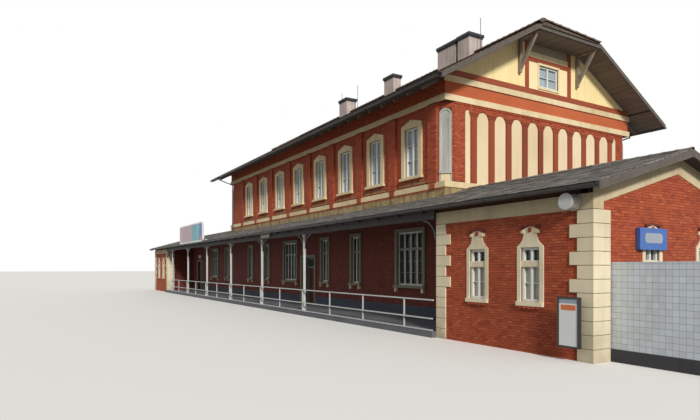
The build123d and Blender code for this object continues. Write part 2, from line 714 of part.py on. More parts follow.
def windows():
    """Surrounds, frames and panes of all windows."""
    surrounds = []
    frames = []
    panes = []
    for (opening, ring, frame), place, x, face in window_list():
        surrounds.append(place(ring, x, face))
        frames.append(place(frame, x, face))
        panes.append(place(pane(opening), x, face))
    surrounds.append(on_platform(door_surround(HALL_DOOR_WIDTH), HALL_DOOR_X))
    surrounds.append(on_platform(door_surround(WING_DOOR_WIDTH), WING_DOOR_X))
    surrounds.append(on_street(door_surround(HALL_DOOR_WIDTH), STREET_DOOR_X))
    sill = WING_WINDOW_SILL_Z
    opening = rectangle(WING_WINDOW_WIDTH, sill, sill + WING_WINDOW_HEIGHT)
    frame = window_frame(WING_WINDOW_WIDTH, sill, sill + WING_WINDOW_HEIGHT, 1)
    transom = block(-WING_WINDOW_WIDTH / 2, WING_WINDOW_WIDTH / 2, REVEAL - TRANSOM_PROUD, REVEAL,
                    WING_TRANSOM_Z - WING_TRANSOM / 2, WING_TRANSOM_Z + WING_TRANSOM / 2)
    ogees = []
    for place, along, face in wing_window_list():
        ogees.append(place(ogee_surround(), along, face))
        frames += [place(frame, along, face), place(transom, along, face)]
        panes.append(place(pane(opening), along, face))
    attic = rectangle(ATTIC_WINDOW_WIDTH, ATTIC_WINDOW_Z, ATTIC_WINDOW_Z + ATTIC_WINDOW_HEIGHT)
    attic_frame = window_frame(ATTIC_WINDOW_WIDTH, ATTIC_WINDOW_Z, ATTIC_WINDOW_Z + ATTIC_WINDOW_HEIGHT, 1)
    for place in (on_right, on_left):
        frames.append(place(Pos(0, -REVEAL, 0) * attic_frame, 0))
        panes.append(place(Pos(0, -REVEAL, 0) * pane(attic), 0))
    save("window_surrounds", *surrounds)
    save("ogee_surrounds", *ogees)
    save("window_frames", *frames)
    save("window_panes", *panes)


# Chimneys

def chimney_layer(length, depth, overhang, z0, z1):
    """A straight layer of a chimney about the ridge, wider than its stack by an overhang."""
    half_length = length / 2 + overhang
    half_depth = depth / 2 + overhang
    return block(-half_length, half_length, -half_depth, half_depth, z0, z1)


def chimneys():
    """Rendered stacks that straddle the ridge, each with a necked cap, and the lightning rods."""
    solid_roof = roof_prism(0)
    neck_z = CHIMNEY_TOP_Z - NECK_HEIGHT
    stacks = []
    caps = []
    for x, length, depth in CHIMNEYS:
        foot = roof_height(depth / 2)
        neck = chimney_layer(length, depth, NECK_OVERHANG, neck_z, CHIMNEY_TOP_Z)
        cap = chimney_layer(length, depth, CAP_OVERHANG, CHIMNEY_TOP_Z, CHIMNEY_TOP_Z + CAP_HEIGHT)
        stacks.append(Pos(x, 0, 0) * chimney_layer(length, depth, 0, foot, neck_z) - solid_roof)
        caps.append(Pos(x, 0, 0) * (neck + cap))
    rod = round_bar(ROD_RADIUS, ROD_TOP_Z - RIDGE_Z)
    save("chimney_stacks", *stacks)
    save("chimney_caps", *caps)
    save("lightning_rods", *[Pos(x, 0, (RIDGE_Z + ROD_TOP_Z) / 2) * rod for x in ROD_PLACES])


# Canopy and veranda

def low_roof_height(y):
    """Height of the low roofs' top surface, which rises to its ridge behind the facade."""
    ridge_z = LOW_ROOF_WALL_Z + LOW_ROOF_PITCH * LOW_ROOF_RIDGE
    return ridge_z - LOW_ROOF_PITCH * abs(y - LOW_RIDGE_Y)


def low_slope(y0, y1, x0, x1):
    """A slab of the low roofs between two lines along the building."""
    return section_yz([(y0, low_roof_height(y0)), (y1, low_roof_height(y1)),
                       (y1, low_roof_height(y1) - LOW_ROOF_THICKNESS),
                       (y0, low_roof_height(y0) - LOW_ROOF_THICKNESS)], x0, x1)


def low_roofs():
    """Canopy slab along the block, and the gabled roofs of both wings in line with it."""
    right_end = RIGHT_END + LOW_VERGE
    left_end = LEFT_END - LOW_VERGE
    save("canopy_roof", low_slope(LOW_EAVE_Y, FACADE_Y, -HALF_LENGTH, HALF_LENGTH))
    save("wing_roof_platform_slopes", low_slope(LOW_EAVE_Y, LOW_RIDGE_Y, HALF_LENGTH, right_end),
         low_slope(LOW_EAVE_Y, LOW_RIDGE_Y, left_end, -HALF_LENGTH))
    save("wing_roof_street_slopes", low_slope(LOW_RIDGE_Y, LOW_BACK_Y, HALF_LENGTH, right_end),
         low_slope(LOW_RIDGE_Y, LOW_BACK_Y, left_end, -HALF_LENGTH))


def canopy_frame():
    """Posts, eave beam and curved braces of the canopy."""
    soffit = low_roof_height(COLONNADE_Y - BEAM_WIDTH / 2) - LOW_ROOF_THICKNESS
    beam_bottom = soffit - BEAM_DEPTH
    beam = block(LEFT_PAVILION_X, RIGHT_PAVILION_X,
                 COLONNADE_Y - BEAM_WIDTH / 2, COLONNADE_Y + BEAM_WIDTH / 2, beam_bottom, soffit)
    height = beam_bottom - FLOOR_TOP
    posts = [Pos(x, COLONNADE_Y, FLOOR_TOP + height / 2) * round_bar(POST_RADIUS, height) for x in POSTS]
    braces = []
    for x in POSTS:
        for side in (-1, 1):
            braces.append(curved_brace(x + side * POST_RADIUS, side, beam_bottom))
    braces.append(curved_brace(RIGHT_PAVILION_X, -1, beam_bottom))
    braces.append(curved_brace(LEFT_PAVILION_X, 1, beam_bottom))
    save("canopy_beam", beam)
    save("canopy_posts", *posts)
    save("canopy_braces", *braces)


def curved_brace(x, side, top):
    """A quarter-round brace from a post's flank at x up to the underside of the beam."""
    centre = (side * BRACE_RADIUS, top - BRACE_RADIUS)
    start = 180 if side > 0 else 0
    outer = arc(centre, BRACE_RADIUS, start, 90)
    inner = arc(centre, BRACE_RADIUS - BRACE_SECTION, 90, start)
    face = make_face(Polyline(*outer, *inner, close=True))
    return Pos(x, COLONNADE_Y, 0) * facade_plate(face, -BRACE_SECTION / 2, BRACE_SECTION)


def veranda():
    """Raised floor along the block and the railing on its edge."""
    floor = block(LEFT_PAVILION_X, RIGHT_PAVILION_X, FACADE_Y - VERANDA_REACH, FACADE_Y, 0, FLOOR_TOP)
    y = COLONNADE_Y - POST_RADIUS - RAIL_SETBACK
    half = RAIL_SECTION / 2
    start = POSTS[-1]
    *lower_heights, top_height = RAIL_HEIGHTS
    post_top = FLOOR_TOP + top_height - half
    pieces = [block(start, RIGHT_PAVILION_X, y - half, y + half, post_top, post_top + RAIL_SECTION)]
    for height in lower_heights:
        z = FLOOR_TOP + height
        pieces.append(block(start, RIGHT_PAVILION_X, y - half - RAIL_SECTION, y - half, z - half, z + half))
    count = int((RIGHT_PAVILION_X - start) // RAIL_POST_PITCH) + 1
    for i in range(count):
        x = start + half + i * RAIL_POST_PITCH
        pieces.append(block(x - half, x + half, y - half, y + half, FLOOR_TOP, post_top))
    save("veranda_floor", floor)
    save("veranda_railing", *pieces)


def gutters():
    """Half-round gutters along the main eaves and the canopy's eave."""
    radius = GUTTER_RADIUS
    outer = arc((0, 0), radius, 180, 360)
    inner = arc((0, 0), radius - GUTTER_WALL, 360, 180)
    face = make_face(Polyline(*outer, *inner, close=True))
    pieces = []
    for side in (-1, 1):
        trough = extrude(Plane.YZ.offset(-ROOF_HALF_LENGTH) * face, amount=2 * ROOF_HALF_LENGTH)
        pieces.append(Pos(0, side * (ROOF_HALF_DEPTH + radius), EAVE_TOP_Z - radius) * trough)
    run = extrude(Plane.YZ.offset(LEFT_END - LOW_VERGE) * face, amount=RIGHT_END - LEFT_END + 2 * LOW_VERGE)
    pieces.append(Pos(0, LOW_EAVE_Y - radius, low_roof_height(LOW_EAVE_Y) - radius / 2) * run)
    save("gutters", *pieces)


def canopy_lamps():
    """Small lamps under the canopy."""
    length, width, height = LAMP_SIZE
    y = FACADE_Y - LAMP_SETBACK
    top = low_roof_height(y - width / 2) - LOW_ROOF_THICKNESS
    pieces = []
    count = int((HALF_LENGTH * 2 - LAMP_PITCH) // LAMP_PITCH) + 1
    for i in range(count):
        x = UPPER_WINDOWS[0] + LAMP_PITCH / 2 - i * LAMP_PITCH
        pieces.append(block(x - length / 2, x + length / 2, y - width / 2, y + width / 2, top - height, top))
    save("canopy_lamps", *pieces)


# Wings

def pier_rows():
    """Rows of a quoined pier, as pairs of heights with a long or short length."""
    rows = []
    count = int(EAVE_BAND_Z // QUOIN_ROW)
    height = EAVE_BAND_Z / count
    for i in range(count):
        length = QUOIN_LONG if count - 1 - i in LONG_QUOINS_FROM_TOP else QUOIN_SHORT
        rows.append((i * height, (i + 1) * height - QUOIN_JOINT, length))
    return rows


def quoined_pier(x, y, sx, sy):
    """A corner pier: a core, and blocks toothed on the long walls and straight on the end walls."""
    pier = block(x - sx * WING_PROUD, x - sx * PIER, y - sy * WING_PROUD, y - sy * PIER, 0, EAVE_BAND_Z)
    for low, high, length in pier_rows():
        corner = make_face(Polyline((x, y), (x - sx * length, y), (x - sx * length, y - sy * WING_PROUD),
                                    (x - sx * WING_PROUD, y - sy * WING_PROUD),
                                    (x - sx * WING_PROUD, y - sy * QUOIN_LONG), (x, y - sy * QUOIN_LONG),
                                    close=True))
        pier += extrude(Pos(0, 0, low) * corner, amount=high - low, dir=(0, 0, 1))
    return pier


def under_low_roof(x0, x1):
    """The space below the low roofs between two places along the building."""
    drop = LOW_ROOF_THICKNESS
    top = [(y, low_roof_height(y) - drop) for y in (LOW_BACK_Y, LOW_RIDGE_Y, LOW_EAVE_Y)]
    return section_yz([(LOW_EAVE_Y, 0), (LOW_BACK_Y, 0), *top], x0, x1)


def wing_opening(wall, place, along, face):
    """Cuts one wing window through a wall."""
    sill = WING_WINDOW_SILL_Z
    opening = rectangle(WING_WINDOW_WIDTH, sill, sill + WING_WINDOW_HEIGHT)
    return wall - place(facade_plate(opening, -WING_WALL, 3 * WING_WALL), along, face)


def wing_shell(start, end, block_side):
    """Front, end and back walls of one wing and the pavilion's wall beside the veranda."""
    side = math.copysign(1, end)
    space = under_low_roof(min(end, block_side), max(end, block_side))
    front_y = COLONNADE_Y + WING_PROUD
    back_y = WING_BACK_Y - WING_PROUD
    end_x = end - side * WING_PROUD
    inner_y = COLONNADE_Y + PIER
    top = LOW_ROOF_WALL_Z
    front = block(start + side * PIER, end - side * PIER, front_y, front_y + WING_WALL, 0, top) & space
    end_wall = block(end_x, end_x - side * WING_WALL, inner_y, WING_BACK_Y - PIER, 0, STOREY_TOP) & space
    back = block(block_side, end - side * PIER, back_y - WING_WALL, back_y, 0, top) & space
    side_wall = block(start + side * WING_PROUD, start + side * PIER, inner_y, FACADE_Y + WING_WALL,
                      0, top) & space
    for place, along, face in wing_window_list():
        if math.copysign(1, along if place in (on_platform, on_street) else face) != side:
            continue
        if place is on_platform:
            front = wing_opening(front, place, along, face)
        elif place is on_street:
            back = wing_opening(back, place, along, face)
        else:
            end_wall = wing_opening(end_wall, place, along, face)
    return front, end_wall, back, side_wall


def wings():
    """Walls, piers, bands and floors of both wings."""
    front, end_wall, back, side_wall = wing_shell(RIGHT_PAVILION_X, RIGHT_END, HALF_LENGTH)
    back_y = FACADE_Y + WING_WALL
    link_end = RIGHT_PAVILION_X + WING_PROUD
    link = block(HALF_LENGTH, link_end, FACADE_Y, back_y, 0, STOREY_TOP)
    save("right_wing_walls", front, end_wall, back, link & under_low_roof(HALF_LENGTH, link_end))
    save("right_wing_side_wall", side_wall)
    front, end_wall, back, side_wall = wing_shell(LEFT_PAVILION_X, LEFT_END, -HALF_LENGTH)
    link_end = LEFT_PAVILION_X - WING_PROUD
    door0 = WING_DOOR_X - WING_DOOR_WIDTH / 2
    door1 = WING_DOOR_X + WING_DOOR_WIDTH / 2
    wall = block(link_end, -HALF_LENGTH, FACADE_Y, back_y, 0, STOREY_TOP)
    wall &= under_low_roof(link_end, -HALF_LENGTH)
    for x, width in LINK_WINDOWS:
        wall = cut_row(wall, ground_opening(width), [x], on_platform)
    doorway = block(door0, door1, FACADE_Y, back_y, 0, STOREY_TOP)
    save("left_wing_walls", front, end_wall, back, wall - doorway)
    save("left_wing_side_wall", side_wall)
    piers = []
    for x, y, sx, sy in ((RIGHT_PAVILION_X, COLONNADE_Y, -1, -1), (RIGHT_END, COLONNADE_Y, 1, -1),
                         (RIGHT_END, WING_BACK_Y, 1, 1), (LEFT_PAVILION_X, COLONNADE_Y, 1, -1),
                         (LEFT_END, COLONNADE_Y, -1, -1), (LEFT_END, WING_BACK_Y, -1, 1)):
        piers.append(quoined_pier(x, y, sx, sy))
    save("quoin_piers", *piers)
    save("wing_floors", wing_floor(RIGHT_PAVILION_X, RIGHT_END, HALF_LENGTH),
         wing_floor(LEFT_PAVILION_X, LEFT_END, -HALF_LENGTH))
    save("wing_eave_bands", eave_band(RIGHT_PAVILION_X, RIGHT_END), eave_band(LEFT_PAVILION_X, LEFT_END))


def walls_over_doors():
    """The stretches of wall above the two platform doors."""
    low = FLOOR_TOP + DOOR_HEIGHT
    pieces = []
    for x, width, thickness in ((HALL_DOOR_X, HALL_DOOR_WIDTH, BRICK_WALL),
                                (WING_DOOR_X, WING_DOOR_WIDTH, WING_WALL)):
        pieces.append(block(x - width / 2, x + width / 2, FACADE_Y, FACADE_Y + thickness, low, STOREY_TOP))
    hall, wing = pieces
    save("walls_over_doors", hall, wing & under_low_roof(LEFT_PAVILION_X, -HALF_LENGTH))


def wing_floor(start, end, block_side):
    """Floor of one wing, inside its walls."""
    side = math.copysign(1, end)
    inner_back = WING_BACK_Y - PIER
    room = block(start + side * PIER, end - side * PIER, COLONNADE_Y + PIER, inner_back, 0, FLOOR_TOP)
    link = block(block_side, start + side * PIER, FACADE_Y + WING_WALL, inner_back, 0, FLOOR_TOP)
    return room + link


def eave_band(start, end):
    """Rendered frieze over the piers and along a pavilion's platform wall."""
    side = math.copysign(1, end)
    top = EAVE_BAND_Z + EAVE_BAND_HEIGHT
    band = block(start, end, COLONNADE_Y, COLONNADE_Y + WING_PROUD, EAVE_BAND_Z, top)
    for x, sx in ((start, -side), (end, side)):
        band += block(x, x - sx * PIER, COLONNADE_Y, COLONNADE_Y + PIER, EAVE_BAND_Z, top)
    return band


# Doors

def panelled_board(x0, x1, z0, z1):
    """A door board with sunk panels, its room face on y = 0."""
    board = block(x0, x1, -LEAF_THICKNESS, 0, z0, z1)
    for low, high in LEAF_PANELS:
        board -= block(x0 + LEAF_STILE, x1 - LEAF_STILE, -LEAF_THICKNESS, PANEL_RECESS - LEAF_THICKNESS,
                       FLOOR_TOP + low, FLOOR_TOP + high)
    return board


def door_leaf(width, height):
    """A panelled leaf beside its hinge at x = 0, with the round knuckles that it turns on."""
    leaf = panelled_board(LEAF_EDGE_GAP, width, FLOOR_TOP + LEAF_END_GAP, FLOOR_TOP + height)
    reach, thickness = HINGE_FLAP
    knuckle = Cylinder(KNUCKLE_RADIUS, KNUCKLE_HEIGHT)
    for z in KNUCKLE_PLACES:
        low = FLOOR_TOP + z + KNUCKLE_HEIGHT / 2 + HINGE_SEAT
        leaf += block(HINGE_SEAT, LEAF_EDGE_GAP + reach, 0, thickness, low, low + KNUCKLE_HEIGHT)
        leaf += Pos(0, HINGE_AXIS_PROUD, low + KNUCKLE_HEIGHT / 2) * knuckle
    return leaf


def door_frame(width, wall):
    """Jambs, head and transom bar of a double door."""
    front = wall - DOOR_FRAME_DEPTH
    clear = width / 2 - DOOR_FRAME_SIDE
    leaf_top = FLOOR_TOP + DOOR_HEIGHT - DOOR_LIGHT
    light_top = FLOOR_TOP + DOOR_HEIGHT - DOOR_FRAME_SIDE
    frame = block(-width / 2, width / 2, front, wall, FLOOR_TOP, FLOOR_TOP + DOOR_HEIGHT)
    frame -= block(-clear, clear, front, wall, FLOOR_TOP, leaf_top)
    frame -= block(-clear, clear, front, wall, leaf_top + DOOR_FRAME_SIDE, light_top)
    return frame


def frame_knuckles(width, wall):
    """The frame's half of each hinge of a double door."""
    axis_y = wall + HINGE_AXIS_PROUD
    clear = width / 2 - DOOR_FRAME_SIDE
    knuckle = round_bar(KNUCKLE_RADIUS, KNUCKLE_HEIGHT)
    pieces = []
    for side in (-1, 1):
        for z in KNUCKLE_PLACES:
            low = FLOOR_TOP + z - KNUCKLE_HEIGHT / 2
            pieces.append(block(side * clear, side * (clear + KNUCKLE_RADIUS), wall, axis_y,
                                low, low + KNUCKLE_HEIGHT))
            pieces.append(Pos(side * clear, axis_y, FLOOR_TOP + z) * knuckle)
    return pieces


def doors():
    """Both double doors with hinged leaves, and the closed street door."""
    leaf_height = DOOR_HEIGHT - DOOR_LIGHT - LEAF_END_GAP
    frames = []
    lights = []
    for name, x, width, wall in (("hall_door", HALL_DOOR_X, HALL_DOOR_WIDTH, BRICK_WALL),
                                 ("wing_door", WING_DOOR_X, WING_DOOR_WIDTH, WING_WALL)):
        threshold = block(-width / 2, width / 2, 0, wall, 0, FLOOR_TOP)
        frame = door_frame(width, wall) + threshold + frame_knuckles(width, wall)
        frames.append(on_platform(frame, x))
        clear = width / 2 - DOOR_FRAME_SIDE
        leaf = door_leaf(clear - LEAF_END_GAP / 2, leaf_height)
        hinge_y = FACADE_Y + wall
        save(f"{name}_left_leaf", Pos(x - clear, hinge_y, 0) * leaf)
        save(f"{name}_right_leaf", Pos(x + clear, hinge_y, 0) * mirror(leaf, Plane.YZ))
        lights.append(on_platform(door_light(width, wall), x))
    frames.append(on_street(door_frame(HALL_DOOR_WIDTH, BRICK_WALL), STREET_DOOR_X))
    lights.append(on_street(door_light(HALL_DOOR_WIDTH, BRICK_WALL), STREET_DOOR_X))
    clear = HALL_DOOR_WIDTH / 2 - DOOR_FRAME_SIDE
    closed_leaf = panelled_board(-clear, 0, FLOOR_TOP, FLOOR_TOP + DOOR_HEIGHT - DOOR_LIGHT)
    closed_leaf = Pos(0, BRICK_WALL, 0) * closed_leaf
    pair = [on_street(closed_leaf, STREET_DOOR_X), on_street(mirror(closed_leaf, Plane.YZ), STREET_DOOR_X)]
    save("door_frames", *frames)
    save("door_lights", *lights)
    save("street_door_leaves", *pair)


def door_light(width, wall):
    """Glass over the leaves of a door."""
    clear = width / 2 - DOOR_FRAME_SIDE
    low = FLOOR_TOP + DOOR_HEIGHT - DOOR_LIGHT + DOOR_FRAME_SIDE
    high = FLOOR_TOP + DOOR_HEIGHT - DOOR_FRAME_SIDE
    middle = wall - DOOR_FRAME_DEPTH / 2
    return block(-clear, clear, middle - PANE_THICKNESS / 2, middle + PANE_THICKNESS / 2, low, high)


# Fittings

def canopy_sign():
    """Sign board that stands before the canopy's gutter, on feet that lie on the slates."""
    length, thickness, height = SIGN_BOARD
    back = LOW_EAVE_Y - 2 * GUTTER_RADIUS - GUTTER_WALL
    eave_z = low_roof_height(LOW_EAVE_Y)
    middle_z = eave_z - SIGN_FOOT + height / 2
    corners = []
    for sx, sz, start in ((1, -1, -90), (1, 1, 0), (-1, 1, 90), (-1, -1, 180)):
        centre = (sx * (length / 2 - SIGN_CORNER), middle_z + sz * (height / 2 - SIGN_CORNER))
        corners += arc(centre, SIGN_CORNER, start, start + 90)
    board = facade_plate(make_face(Polyline(*corners, close=True)), back - thickness, thickness)
    foot_end = LOW_EAVE_Y + SIGN_FOOT_REACH
    foot_end_z = low_roof_height(foot_end)
    for x in SIGN_FOOT_PLACES:
        board += section_yz([(back, eave_z + SIGN_FOOT), (foot_end, foot_end_z + SIGN_FOOT),
                             (foot_end, foot_end_z), (LOW_EAVE_Y, eave_z), (back, eave_z)],
                            x - SIGN_FOOT / 2, x + SIGN_FOOT / 2)
    save("canopy_sign", Pos(-HALF_LENGTH - SIGN_PAST_BLOCK, 0, 0) * board)


def small_signs():
    """Bare box sign on the end wall, board beside the pier, beam sign and door plate."""
    width, depth, height = BLUE_BOX
    box = block(-width / 2, width / 2, -depth, 0, BLUE_BOX_Z - height / 2, BLUE_BOX_Z + height / 2)
    blue = on_right(box, FACADE_Y - BLUE_BOX_SHIFT, RIGHT_END - WING_PROUD + OGEE_PROUD)
    width, depth, height = YELLOW_BOARD
    x = RIGHT_PAVILION_X
    y = COLONNADE_Y + PIER / 2
    yellow = block(x - width, x, y, y + depth, YELLOW_BOARD_Z - height / 2, YELLOW_BOARD_Z + height / 2)
    width, depth, height = NAME_BOX
    beam_face = COLONNADE_Y - BEAM_WIDTH / 2
    beam_mid = low_roof_height(beam_face) - LOW_ROOF_THICKNESS - BEAM_DEPTH / 2
    name = block(HALL_DOOR_X - width / 2, HALL_DOOR_X + width / 2, beam_face - depth, beam_face,
                 beam_mid - height / 2, beam_mid + height / 2)
    width, depth, height = DOOR_PLATE
    plate_z = FLOOR_TOP + DOOR_HEIGHT + 2 * DOOR_SURROUND_SIDE
    plate = on_platform(block(-width / 2, width / 2, -depth, 0, plate_z, plate_z + height), WING_DOOR_X)
    save("small_signs", blue, yellow, name, plate)


def fittings():
    """Drum lamp, poster case and the yard wall."""
    lamp_z = EAVE_BAND_Z + EAVE_BAND_HEIGHT / 2
    drum = round_bar(DRUM_RADIUS, DRUM_LENGTH, DRUM_SIDES)
    drum -= Pos(0, 0, DRUM_LENGTH / 2) * round_bar(DRUM_RADIUS - DRUM_RIM, DRUM_RIM, DRUM_SIDES)
    lamp_place = Pos(RIGHT_END - DRUM_INSET, COLONNADE_Y - DRUM_LENGTH / 2, lamp_z)
    save("drum_lamp", lamp_place * Rot(90, 0, 0) * drum)
    width, depth, tall = POSTER_CASE
    front = -POSTER_STANDOFF - depth
    case = block(-width / 2, width / 2, front, -POSTER_STANDOFF, POSTER_Z, POSTER_Z + tall)
    case -= block(POSTER_RIM - width / 2, width / 2 - POSTER_RIM, front, front + POSTER_RECESS,
                  POSTER_Z + POSTER_RIM, POSTER_Z + tall - POSTER_RIM)
    half = POSTER_ARM / 2
    for side in (-1, 1):
        z = POSTER_Z + tall / 2 + side * POSTER_ARM_SPACING / 2
        case += block(-half, half, -POSTER_STANDOFF, 0, z - half, z + half)
    save("poster_case", on_platform(case, RIGHT_END - POSTER_INSET, COLONNADE_Y))
    start = RIGHT_END - WING_PROUD
    front = COLONNADE_Y + QUOIN_LONG + YARD_WALL_CLEARANCE + WING_PROUD
    back = front + YARD_WALL_THICKNESS
    end = start + YARD_WALL_LENGTH
    plinth = block(start, end, front - WING_PROUD, back + WING_PROUD, 0, YARD_PLINTH_TOP)
    wall = block(start, end, front, back, YARD_PLINTH_TOP, YARD_WALL_TOP)
    save("yard_wall_plinth", plinth)
    save("yard_wall", wall)


def build():
    """Builds every node of the station."""
    os.makedirs("parts", exist_ok=True)
    main_roof()
    verge_boards()
    platform_walls()
    street_walls()
    gable_walls()
    floors()
    pilasters()
    bands()
    arched_panels()
    gable_timbers()
    gable_brackets()
    corner_niches()
    windows()
    chimneys()
    low_roofs()
    canopy_frame()
    veranda()
    gutters()
    canopy_lamps()
    wings()
    walls_over_doors()
    doors()
    canopy_sign()
    small_signs()
    fittings()


build()
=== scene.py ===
"""Looks of the railway station building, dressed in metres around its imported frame."""

from __future__ import annotations

import logging
import math
from dataclasses import dataclass
from enum import Enum
from typing import Callable, Sequence

import bpy
from mathutils import Matrix, Vector

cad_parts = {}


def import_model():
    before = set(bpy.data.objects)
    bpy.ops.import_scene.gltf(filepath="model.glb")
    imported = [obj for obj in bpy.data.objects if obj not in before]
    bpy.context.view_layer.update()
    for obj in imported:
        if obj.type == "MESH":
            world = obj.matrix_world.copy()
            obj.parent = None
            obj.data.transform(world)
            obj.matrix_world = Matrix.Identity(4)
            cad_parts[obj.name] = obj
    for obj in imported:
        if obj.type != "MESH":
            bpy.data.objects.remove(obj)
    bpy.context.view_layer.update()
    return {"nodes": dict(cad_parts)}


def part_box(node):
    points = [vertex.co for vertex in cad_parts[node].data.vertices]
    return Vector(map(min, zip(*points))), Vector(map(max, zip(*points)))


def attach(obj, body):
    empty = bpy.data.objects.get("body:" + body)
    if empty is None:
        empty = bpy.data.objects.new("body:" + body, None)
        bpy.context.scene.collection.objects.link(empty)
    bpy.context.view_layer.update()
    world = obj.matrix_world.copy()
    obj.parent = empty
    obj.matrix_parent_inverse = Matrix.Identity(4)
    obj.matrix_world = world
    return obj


LOG = logging.getLogger("station")
MAIN_BODY = "building"
SEED_STEP = 17

Colour = tuple[float, float, float, float]
Span = tuple[float, float]


def tint(red: float, green: float, blue: float) -> Colour:
    """Turns a display colour into the linear colour that a shader takes.

    Args:
        red: Red from 0 to 255.
        green: Green from 0 to 255.
        blue: Blue from 0 to 255.

    Returns:
        The linear colour, opaque.
    """
    shares = [channel / 255 for channel in (red, green, blue)]
    linear = [s / 12.92 if s <= 0.04045 else ((s + 0.055) / 1.055) ** 2.4 for s in shares]
    return (linear[0], linear[1], linear[2], 1.0)


# Shader maths


class Wire:
    """A value in a node tree that answers to arithmetic."""

    def __init__(self, graph: Tree, socket: bpy.types.NodeSocket) -> None:
        """Keeps the tree and the socket that the value comes from."""
        self.graph = graph
        self.socket = socket

    def __add__(self, other: Wire | float) -> Wire:
        """Adds a value."""
        return self.graph.maths("ADD", self, other)

    __radd__ = __add__

    def __sub__(self, other: Wire | float) -> Wire:
        """Takes a value away."""
        return self.graph.maths("SUBTRACT", self, other)

    def __rsub__(self, other: float) -> Wire:
        """Takes this value away from a number."""
        return self.graph.maths("SUBTRACT", other, self)

    def __mul__(self, other: Wire | float) -> Wire:
        """Multiplies by a value."""
        return self.graph.maths("MULTIPLY", self, other)

    __rmul__ = __mul__

    def __gt__(self, other: Wire | float) -> Wire:
        """Gives 1 where this value is the larger one."""
        return self.graph.maths("GREATER_THAN", self, other)

    def __lt__(self, other: Wire | float) -> Wire:
        """Gives 1 where this value is the smaller one."""
        return self.graph.maths("LESS_THAN", self, other)

    def __abs__(self) -> Wire:
        """Drops the sign."""
        return self.graph.maths("ABSOLUTE", self)

    def between(self, low: float, high: float) -> Wire:
        """Gives 1 where the value lies between two numbers."""
        return (self > low) * (self < high)

    def spread(self, low: float, high: float) -> Wire:
        """Stretches the stretch from low to high over 0 to 1 and clamps it."""
        return self.graph.node("ShaderNodeMapRange", {"clamp": True}, {0: self, 1: low, 2: high})


class Tree:
    """A node tree with one method that makes any node."""

    def __init__(self, tree: bpy.types.NodeTree) -> None:
        """Empties the tree."""
        self.tree = tree
        tree.nodes.clear()

    def node(self, kind: str, settings: dict | None = None, sockets: dict | None = None,
             output: int = 0) -> Wire:
        """Makes a node.

        Args:
            kind: The node's type.
            settings: The node's own properties, with a ramp's stops under the word stops.
            sockets: Values or wires for its input sockets, by index or name.
            output: Index of the output socket to give back.

        Returns:
            The chosen output, or nothing for a node that has none.
        """
        made = self.tree.nodes.new(kind)
        for key, value in (settings or {}).items():
            if key == "stops":
                self._set_stops(made.color_ramp, value)
            else:
                setattr(made, key, value)
        for key, value in (sockets or {}).items():
            if isinstance(value, Wire):
                self.tree.links.new(value.socket, made.inputs[key])
            else:
                made.inputs[key].default_value = value
        return Wire(self, made.outputs[output]) if made.outputs else None

    @staticmethod
    def _set_stops(ramp: bpy.types.ColorRamp, stops: Sequence[tuple[float, Colour]]) -> None:
        """Gives a colour ramp its stops."""
        while len(ramp.elements) < len(stops):
            ramp.elements.new(1.0)
        for element, (place, colour) in zip(ramp.elements, stops):
            element.position = place
            element.color = colour

    def maths(self, operation: str, *values: Wire | float) -> Wire:
        """Makes a Math node."""
        return self.node("ShaderNodeMath", {"operation": operation}, dict(enumerate(values)))

    def plain_ray(self) -> Wire:
        """Gives 1 for a ray from the camera, a gloss or a glass, and 0 for one that carries light."""
        seen = self.node("ShaderNodeLightPath", output=0)
        for output in (3, 6):
            seen = self.maths("MAXIMUM", seen, self.node("ShaderNodeLightPath", output=output))
        return seen


